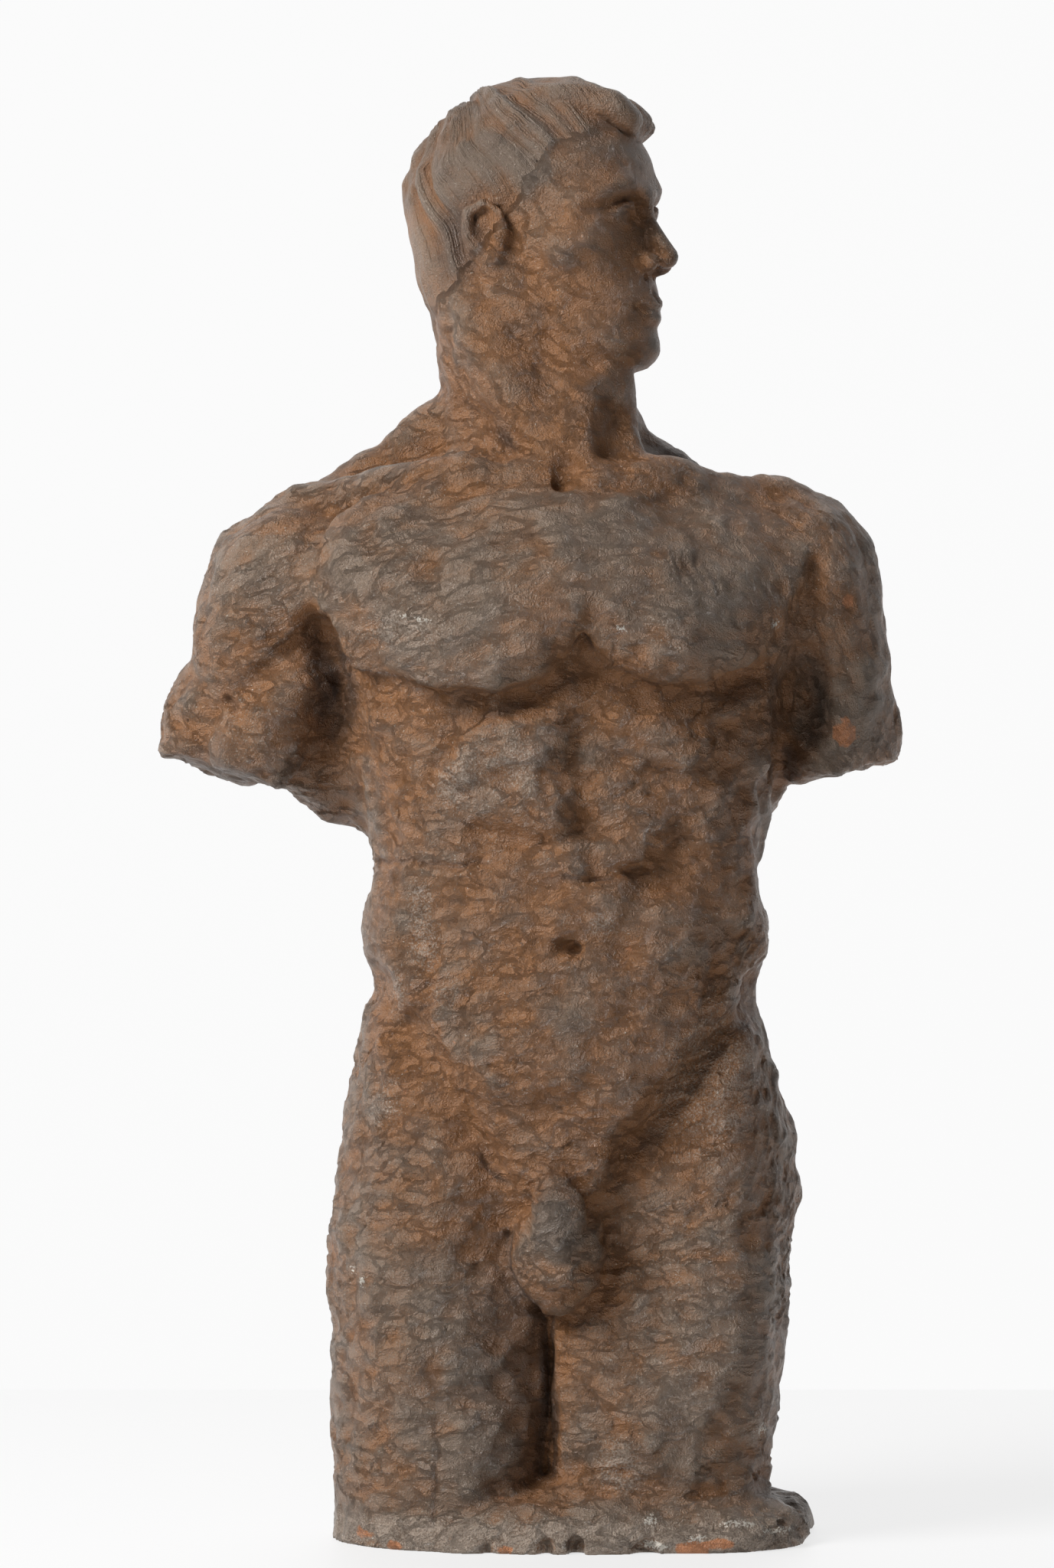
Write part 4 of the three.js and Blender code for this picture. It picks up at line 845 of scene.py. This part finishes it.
# Where the finish is more orange (above 0) or greyer (below 0): x, y, z, half width, half height, amount.
COLOURING = [
    # neck, jaw and cheek, then the hair
    [0, -30, 630, 60, 60, 0.9],
    [20, -40, 700, 50, 40, 0.5],
    [-40, -20, 770, 60, 40, -0.2],
    # chest and one shoulder, grey, then under the breasts
    [-50, -80, 530, 80, 50, -1.2],
    [-150, -40, 530, 50, 40, -0.6],
    [60, -80, 530, 60, 50, -0.9],
    [70, -80, 455, 60, 24, 0.9],
    [-30, -80, 456, 40, 14, 0.6],
    # arms, the one at the viewer's left first
    [-125, -40, 470, 20, 50, 1.0],
    [-180, -20, 450, 50, 40, 0.5],
    [-160, -30, 530, 40, 40, 0.2],
    [160, -20, 500, 40, 40, 0.3],
    [150, -20, 445, 30, 30, -0.9],
    # belly, groin and sex
    [-70, -60, 395, 30, 40, 0.4],
    [80, -60, 380, 40, 50, 0.5],
    [0, -80, 345, 16, 24, 0.9],
    [0, -80, 250, 70, 60, 0.5],
    [-40, -60, 215, 40, 40, 0.6],
    [50, -60, 230, 40, 30, 0.6],
    [-2, -94, 180, 16, 26, -1.3],
    [4, -86, 140, 26, 14, 0.7],
    # thighs and slab
    [-20, -40, 100, 30, 70, 0.5],
    [-70, -60, 90, 40, 60, -0.5],
    [70, -60, 100, 50, 70, -0.5],
    [0, -30, 6, 260, 16, -2.0],
]
# Darker places: the hair and the sex have darker patina; the hollows of the arms, the underside of an arm's
# end and one thigh's inner side are painted shade; behind the ear and down the belly's middle the clay is
# simply darker
DARK_PATINA_AND_SHADE = [
    [-30, 0, 765, 70, 46, 0.42],
    [-52, -18, 707, 16, 24, 0.9],
    [-3, -94, 182, 13, 24, 0.6],
    [132, -40, 455, 18, 34, 0.8],
    [-122, -45, 455, 12, 34, 0.6],
    [-180, -10, 424, 40, 14, 0.5],
    [-30, -60, 90, 22, 70, 0.5],
    [0, -60, 420, 8, 60, 0.2],
]
# Painted highlights: pale sandy patches on the highest clay and on the bulges, hip and slab edge that catch
# the light
PALE_SAND_AND_HIGHLIGHTS = [
    [-75, -80, 351, 7, 12, 1.0],
    [-74, -80, 326, 10, 14, 1.0],
    [22, -90, 339, 7, 8, 0.9],
    [-58, -80, 412, 9, 12, 0.8],
    [-80, -80, 494, 26, 11, 0.8],
    [-88, -60, 300, 6, 12, 0.9],
    [-62, -80, 300, 10, 12, 0.5],
    [-165, -40, 440, 24, 24, 0.4],
    [-160, -40, 530, 26, 30, 0.3],
    [-96, -50, 240, 12, 16, 0.6],
    [-40, -60, 46, 14, 18, 0.3],
    [32, -60, 46, 12, 15, 0.9],
    [106, -50, 62, 8, 10, 0.5],
    [-30, -80, 425, 22, 14, 0.4],
    [60, -80, 498, 20, 10, 0.4],
    [0, -70, 7, 170, 12, 1.2],
    [82, -60, 255, 34, 44, 0.8],
    [-62, -90, 500, 50, 40, 0.3],
    [-30, -90, 415, 40, 44, 0.3],
    [70, -70, 120, 44, 80, 0.25],
]
# White specks and streaks: painted glints on the lower rims of the breasts, white specks on the thighs, white
# chips along the slab's front
CHALK_AND_GLINTS = [
    # painted glints along the lower rims of the breasts
    [-74, -90, 500, 4, 1.5, 0.8],
    [-84, -90, 502, 2, 1.5, 0.8],
    [32, -95, 496, 3, 2, 1],
    [116, -60, 499, 2, 2, 0.8],
    # white specks on the thighs, then white chips along the slab's front
    [-112, -50, 150, 3, 2, 0.8],
    [-106, -56, 145, 2, 2, 0.8],
    [109, -50, 63, 3, 4, 0.8],
    [49, -74, 17, 4, 2, 1],
    [52, -76, 4, 7, 2, 1],
    [74, -76, 8, 6, 2, 0.9],
    [96, -70, 15, 12, 1.5, 0.8],
    [118, -60, 11, 12, 1.5, 0.8],
]
# Chips that show the bare orange clay
BARE = [
    [-108, -66, 7, 9, 7, 1],
    [-90, -72, 2, 6, 3, 0.8],
    [-30, -76, 2, 5, 3, 0.7],
    [70, -76, 3, 9, 4, 1],
    [86, -76, 5, 7, 3, 0.9],
    [156, -30, 441, 7, 9, 0.8],
    [158, -30, 513, 3, 4, 0.9],
]
# How strongly the small pressed scales show: height, share
SCALY = [
    [0, 0.6], [20, 0.8], [60, 1], [250, 1], [330, 0.9],
    [440, 0.85], [480, 0.5], [560, 0.6], [620, 0.4],
]
# Cracks, seams and scored strokes on the front: half width, depth, then x and z along the line
CRACKS = [
    [1.6, 2.2, [[-98, 370], [-80, 373], [-60, 368], [-38, 371]]],
    [1.6, 2.0, [[3, 362], [14, 360], [26, 363]]],
    [1.4, 1.4, [[-67, 72], [-66, 50], [-68, 30], [-66, 14]]],
    [1.3, 1.2, [[-119, 483], [-112, 479]]],
    [1.6, 1.5, [[-97, 577], [-90, 572]]],
    [1.6, 1.8, [[-42, 212], [-34, 203], [-28, 196]]],
    [1.4, 1.4, [[-29, 172], [-28, 154], [-21, 138], [-10, 130]]],
    [1.4, 1.2, [[-66, 423], [-52, 414]]],
    [1.4, 1.2, [[-62, 414], [-47, 405]]],
    [1.4, 1.2, [[-79, 300], [-64, 309]]],
    [1.4, 1.2, [[-76, 290], [-60, 300]]],
    [2.6, 3.0, [[-180, 458], [-176, 454]]],
]
# Five scored strokes side by side on the breast
CRACKS += [[1.2, 0.7, [[54 + 6 * i, 540 - 2 * i], [60 + 6 * i, 523 - 2 * i]]] for i in range(5)]


def marked(points, marks, soft):
    """The marks of a table added up at each point."""
    total = np.zeros(len(points))
    for x, y, z, wide, high, amount in marks:
        total += amount * spot(points, [x, y, z], [wide, max(wide, 26), high], soft)
    return total


def cracked(points):
    """How open the cracks are at each point, and their depth."""
    place = points[:, [0, 2]] + 1.6 * np.stack([noise(points, 9, 12), noise(points, 9, 13)], 1)
    opened, depth = np.zeros(len(points)), np.zeros(len(points))
    for half, deep, path in CRACKS:
        for start, end in zip(np.array(path[:-1], float), np.array(path[1:], float)):
            way = end - start
            share = np.clip((place - start) @ way / (way @ way), 0, 1)
            inside = fade(np.linalg.norm(place - start - share[:, None] * way, axis=1), half + 1, 0)
            inside = np.where(points[:, 1] < 0, inside, 0)
            opened = np.maximum(opened, inside)
            depth = np.maximum(depth, deep * inside)
    return opened, depth


build("trunk", trunk)
build("statue", shoulders, arms, neck, thighs, genitals)
build("head", head)
build("statue", base, underside)

points, triangles, quads = surface(GRID_STEP)
plain = make_mesh("plain", points, triangles, quads)
normals = np.empty(len(points) * 3, np.float32)
plain.vertex_normals.foreach_get("vector", normals)
normals = normals.reshape(-1, 3).astype(float)
ends = np.empty(len(plain.edges) * 2, np.int32)
plain.edges.foreach_get("vertices", ends)
ends = ends.reshape(-1, 2)

random = np.random.default_rng(SEED)
dabs, tone, stroke = press_dabs(points, normals, random)
lumps = layered(points, LUMPS)
under = fade(-normals[:, 2], 0.6, 0.95) * fade(points[:, 2], 4, 1)
in_face = spot(into_head(points), [0, -52, -14], [46, 34, 58])
shown = (1 - under) * (1 - 0.7 * in_face)
on_hair = hair_share(points)
strand_at = combed(points)
strands = layered(strand_at, STRANDS)
height = (UNTOUCHED - dabs) * (1 - 0.85 * on_hair) + strands * on_hair
combing = on_hair > 0.5
stroke[combing] = strand_at[combing][:, [2, 0, 1]] * [6, 1, 1]
opened, depth = cracked(points)
relief = (height + lumps * (1 - 0.6 * on_hair)) * shown - depth
moved = points + normals * relief[:, None]
moved[:, 2] = np.where(moved[:, 2] < FLAT_BELOW, 0, moved[:, 2])
soft = smoothed(relief, ends, 3)
heights, shares = np.array(SCALY).T

# What the finish reads at each point. Hollow and cleft tell how close the clay comes to places in front of
# the surface, near to it and further away.
NEAR = 9
AWAY = 26
layers = {
    "tone": tone,
    "raised": soft - smoothed(soft, ends, 30),
    "hollow": 1 - field(points + normals * NEAR) / NEAR,
    "cleft": 1 - field(points + normals * AWAY) / AWAY,
    "rust": marked(points, COLOURING, 0.8),
    # darker patina on the hair and sex, painted shade in the arms' hollows, under an arm's end and on one
    # inner thigh, and darker along the cracks
    "dark_patina_and_shade": marked(points, DARK_PATINA_AND_SHADE, 0.4) + 0.6 * opened,
    # painted highlights with pale sandy speckle
    "pale_sand_and_highlight": marked(points, PALE_SAND_AND_HIGHLIGHTS, 0.5),
    "scaly": np.interp(points[:, 2], heights, shares) * (1 - on_hair) * (1 - 0.6 * in_face),
    "chalk_and_glints": marked(points, CHALK_AND_GLINTS, 0.5),
    "bare": marked(points, BARE, 0.4),
    "combed": on_hair,
}
statue_mesh = make_mesh("wrestler_statue", moved * MM, triangles, quads)
for name, values in layers.items():
    statue_mesh.attributes.new(name, "FLOAT", "POINT").data.foreach_set("value", values.astype(np.float32))
layer = statue_mesh.attributes.new("stroke", "FLOAT_VECTOR", "POINT")
layer.data.foreach_set("vector", stroke.astype(np.float32).ravel())
statue = add("statue", statue_mesh)
fewer = statue.modifiers.new("fewer", "DECIMATE")
fewer.ratio = MOST_TRIANGLES / (len(triangles) + 2 * len(quads))
fewer.use_collapse_triangulate = True
statue_mesh = bpy.data.meshes.new_from_object(statue.evaluated_get(bpy.context.evaluated_depsgraph_get()))
statue.modifiers.clear()
statue.data = statue_mesh
statue_mesh.name = "wrestler_statue"
statue_mesh.shade_smooth()


# The colours of the finish, with painted shade and painted highlights among them
RUST_COLOUR = (0.225, 0.102, 0.040)
PATINA_COLOUR = (0.186, 0.134, 0.096)
SMOKE_COLOUR = (0.110, 0.068, 0.044)
# dark patina, also used as painted shade
DARK_PATINA_AND_SHADE_COLOUR = (0.075, 0.056, 0.045)
# pale sand, used for the painted highlights
PALE_SAND_AND_HIGHLIGHT_COLOUR = (0.37, 0.30, 0.24)
# painted shade for the deepest clefts
CLEFT_SHADE_COLOUR = (0.055, 0.030, 0.018)
BARE_COLOUR = (0.40, 0.165, 0.070)
# white of the chips, also used for the painted glints
CHALK_AND_GLINT_COLOUR = (0.60, 0.55, 0.48)


def clay():
    """The finish: grey-brown patina on the high clay, rust orange in the low, with streaks and grain; with
    painted shade in the deepest clefts and hollows, and painted highlights and glints on the high clay.
    """
    made = bpy.data.materials.new("clay_with_patina")
    made.use_nodes = True
    tree = made.node_tree
    shader = tree.nodes["Principled BSDF"]

    def node(kind, inputs, **settings):
        new = tree.nodes.new("ShaderNode" + kind)
        for name, value in settings.items():
            setattr(new, name, value)
        for name, value in inputs.items():
            if isinstance(value, bpy.types.NodeSocket):
                tree.links.new(value, new.inputs[name])
            else:
                new.inputs[name].default_value = value
        return new

    def value_of(name):
        return node("Attribute", {}, attribute_name=name).outputs["Fac"]

    def vector(kind, a, b, output="Vector"):
        return node("VectorMath", {0: a, 1: b}, operation=kind).outputs[output]

    def maths(kind, a, b, c=0.0):
        return node("Math", {0: a, 1: b, 2: c}, operation=kind).outputs[0]

    def grain(scale, detail, rough, at=None):
        inputs = {"Scale": scale, "Detail": detail, "Roughness": rough, "Vector": at or place}
        return node("TexNoise", inputs).outputs["Fac"]

    def ramp(value, start, end):
        return node("MapRange", {0: value, 1: start, 2: end}, interpolation_type="SMOOTHSTEP").outputs[0]

    def mixed(share, a, b):
        inputs = {0: share, 6: a if isinstance(a, bpy.types.NodeSocket) else (*a, 1), 7: (*b, 1)}
        return node("Mix", inputs, data_type="RGBA").outputs[2]

    def less_half(value):
        return maths("SUBTRACT", value, 0.5)

    def times(a, b):
        return maths("MULTIPLY", a, b)

    def plus(base, value, weight):
        return maths("MULTIPLY_ADD", value, weight, base)

    place = node("TexCoord", {}).outputs["Object"]
    stroke = node("Attribute", {}, attribute_name="stroke").outputs["Vector"]
    streaks = grain(0.55, 3.0, 0.6, vector("MULTIPLY", stroke, (0.10, 1.0, 1.0)))
    blotches = grain(26, 3.0, 0.5)
    patches = grain(95, 3.0, 0.55)
    fine = grain(900, 2.0, 0.6)
    finest = grain(1900, 2.0, 0.6)
    broad = grain(58, 4.0, 0.65)

    up = 0.05
    shares = [
        (value_of("raised"), 0.5), (less_half(value_of("tone")), 0.2), (value_of("hollow"), -1.1),
        (value_of("cleft"), -0.6), (value_of("rust"), -0.5), (less_half(blotches), 2.2),
        (less_half(patches), 0.6), (less_half(fine), 0.9), (less_half(streaks), 0.3),
    ]
    for value, weight in shares:
        up = plus(up, value, weight)
    colour = mixed(ramp(up, -0.8, 0.75), RUST_COLOUR, PATINA_COLOUR)
    colour = mixed(times(ramp(less_half(broad), -0.02, 0.14), 0.4), colour, SMOKE_COLOUR)
    # darker patina on the hair and sex, painted shade in the arms' hollows, under an arm's end and on one
    # inner thigh
    colour = mixed(times(value_of("dark_patina_and_shade"), 0.75), colour, DARK_PATINA_AND_SHADE_COLOUR)
    # painted highlight: the raised clay and the pale patches are lightened towards a sandy white, with a fine
    # speckle
    light = plus(less_half(fine), value_of("raised"), 0.08)
    light = plus(light, value_of("pale_sand_and_highlight"), 0.22)
    colour = mixed(times(ramp(light, 0.10, 0.34), 0.6), colour, PALE_SAND_AND_HIGHLIGHT_COLOUR)
    # painted shade: the deepest clefts are darkened towards near black
    colour = mixed(times(ramp(value_of("cleft"), 0.6, 1.1), 0.7), colour, CLEFT_SHADE_COLOUR)
    bare = plus(value_of("bare"), less_half(patches), 2.0)
    colour = mixed(ramp(bare, 0.4, 0.7), colour, BARE_COLOUR)
    # white chips and specks, and painted glints on the breasts
    chalk_and_glints = plus(value_of("chalk_and_glints"), less_half(fine), 2.4)
    colour = mixed(ramp(chalk_and_glints, 0.4, 0.8), colour, CHALK_AND_GLINT_COLOUR)
    tree.links.new(colour, shader.inputs["Base Color"])

    # pressed dabs: shallow bowls side by side, each leaning its own way, with a sharp rim between them
    wobble = node("TexNoise", {"Vector": place, "Scale": 42.0, "Detail": 4.0, "Roughness": 0.6})
    wobble = vector("SUBTRACT", wobble.outputs["Color"], (0.5, 0.5, 0.5))
    wobble = vector("MULTIPLY", wobble, (0.016, 0.016, 0.016))
    shifted = vector("ADD", vector("MULTIPLY", place, (0.62, 0.62, 1.35)), wobble)
    cells = node("TexVoronoi", {"Vector": shifted, "Scale": 95.0, "Randomness": 0.9})
    gap = vector("SUBTRACT", shifted, cells.outputs["Position"])
    lean = vector("SUBTRACT", cells.outputs["Color"], (0.5, 0.5, 0.5))
    lean = vector("DOT_PRODUCT", gap, lean, "Value")
    bowls = times(cells.outputs["Distance"], cells.outputs["Distance"])
    bowls = plus(times(bowls, 3.6), lean, 80.0)
    bowls = times(bowls, value_of("scaly"))
    relief = times(streaks, plus(1.3, value_of("combed"), 2.0))
    for value, weight in [(bowls, 1.35), (grain(210, 3.0, 0.6), 1.8), (fine, 1.2), (finest, 0.7)]:
        relief = plus(relief, value, weight)
    bump = node("Bump", {"Strength": 1.0, "Distance": 0.001, "Height": relief})
    tree.links.new(bump.outputs["Normal"], shader.inputs["Normal"])
    tree.links.new(plus(0.24, patches, 0.26), shader.inputs["Roughness"])
    shader.inputs["Specular IOR Level"].default_value = 0.5
    return made


statue_mesh.materials.append(clay())
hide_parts("wrestler_statue")
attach(statue, "root")


# The floor, the light and the view, in metres

def plain_material(name, colour, glow):
    made = bpy.data.materials.new(name)
    made.use_nodes = True
    shader = made.node_tree.nodes["Principled BSDF"]
    shader.inputs["Base Color"].default_value = (*colour, 1)
    shader.inputs["Roughness"].default_value = 0.6
    shader.inputs["Emission Color"].default_value = (1, 1, 1, 1)
    shader.inputs["Emission Strength"].default_value = glow
    return made


def plate(name, corners, material):
    mesh = bpy.data.meshes.new(name)
    mesh.from_pydata(corners, [], [(0, 1, 2, 3)])
    mesh.materials.append(material)
    return add(name, mesh)


# The floor ends where the photo's does. The backdrop stands behind any camera that looks from the back.
FLOOR_END = 0.72
FLOOR_GREY = 0.14
FLOOR_GLOW = 0.71
BACKDROP_GLOW = 0.95
floor = plate("floor", [(-6, -6, 0), (6, -6, 0), (6, FLOOR_END, 0), (-6, FLOOR_END, 0)],
              plain_material("floor", (FLOOR_GREY,) * 3, FLOOR_GLOW))
backdrop = plate("backdrop", [(-13, 6.5, -6.5), (13, 6.5, -6.5), (13, 6.5, 10.8), (-13, 6.5, 10.8)],
                 plain_material("backdrop", (0.0, 0.0, 0.0), BACKDROP_GLOW))

WORLD_GLOW = 0.08
scene = bpy.context.scene
scene.world = bpy.data.worlds.new("studio")
scene.world.use_nodes = True
background = scene.world.node_tree.nodes["Background"]
background.inputs["Color"].default_value = (1, 1, 1, 1)
background.inputs["Strength"].default_value = WORLD_GLOW

# One large lamp, high at the viewer's left
KEY_AT = Vector((-1.9, -1.4, 2.0))
KEY_AIM = Vector((0, 0, 0.45))
light = bpy.data.lights.new("key", "AREA")
light.energy = 124
light.size = 1.3
key = add("key", light)
key.location = KEY_AT
key.rotation_euler = (KEY_AIM - KEY_AT).to_track_quat("-Z", "Y").to_euler()

# The camera looks level at the middle of the photo, whose height spans this much at the statue.
PHOTO_HEIGHT = 0.8618
CAMERA_GAP = 3.0
CAMERA_X = -0.0175
CAMERA_Z = 0.4128
camera = add("camera", bpy.data.cameras.new("camera"))
camera.data.lens = camera.data.sensor_width * CAMERA_GAP / PHOTO_HEIGHT
camera.location = (CAMERA_X, -CAMERA_GAP, CAMERA_Z)
camera.rotation_euler = (math.pi / 2, 0, 0)
scene.camera = camera
scene.view_settings.view_transform = "Standard"
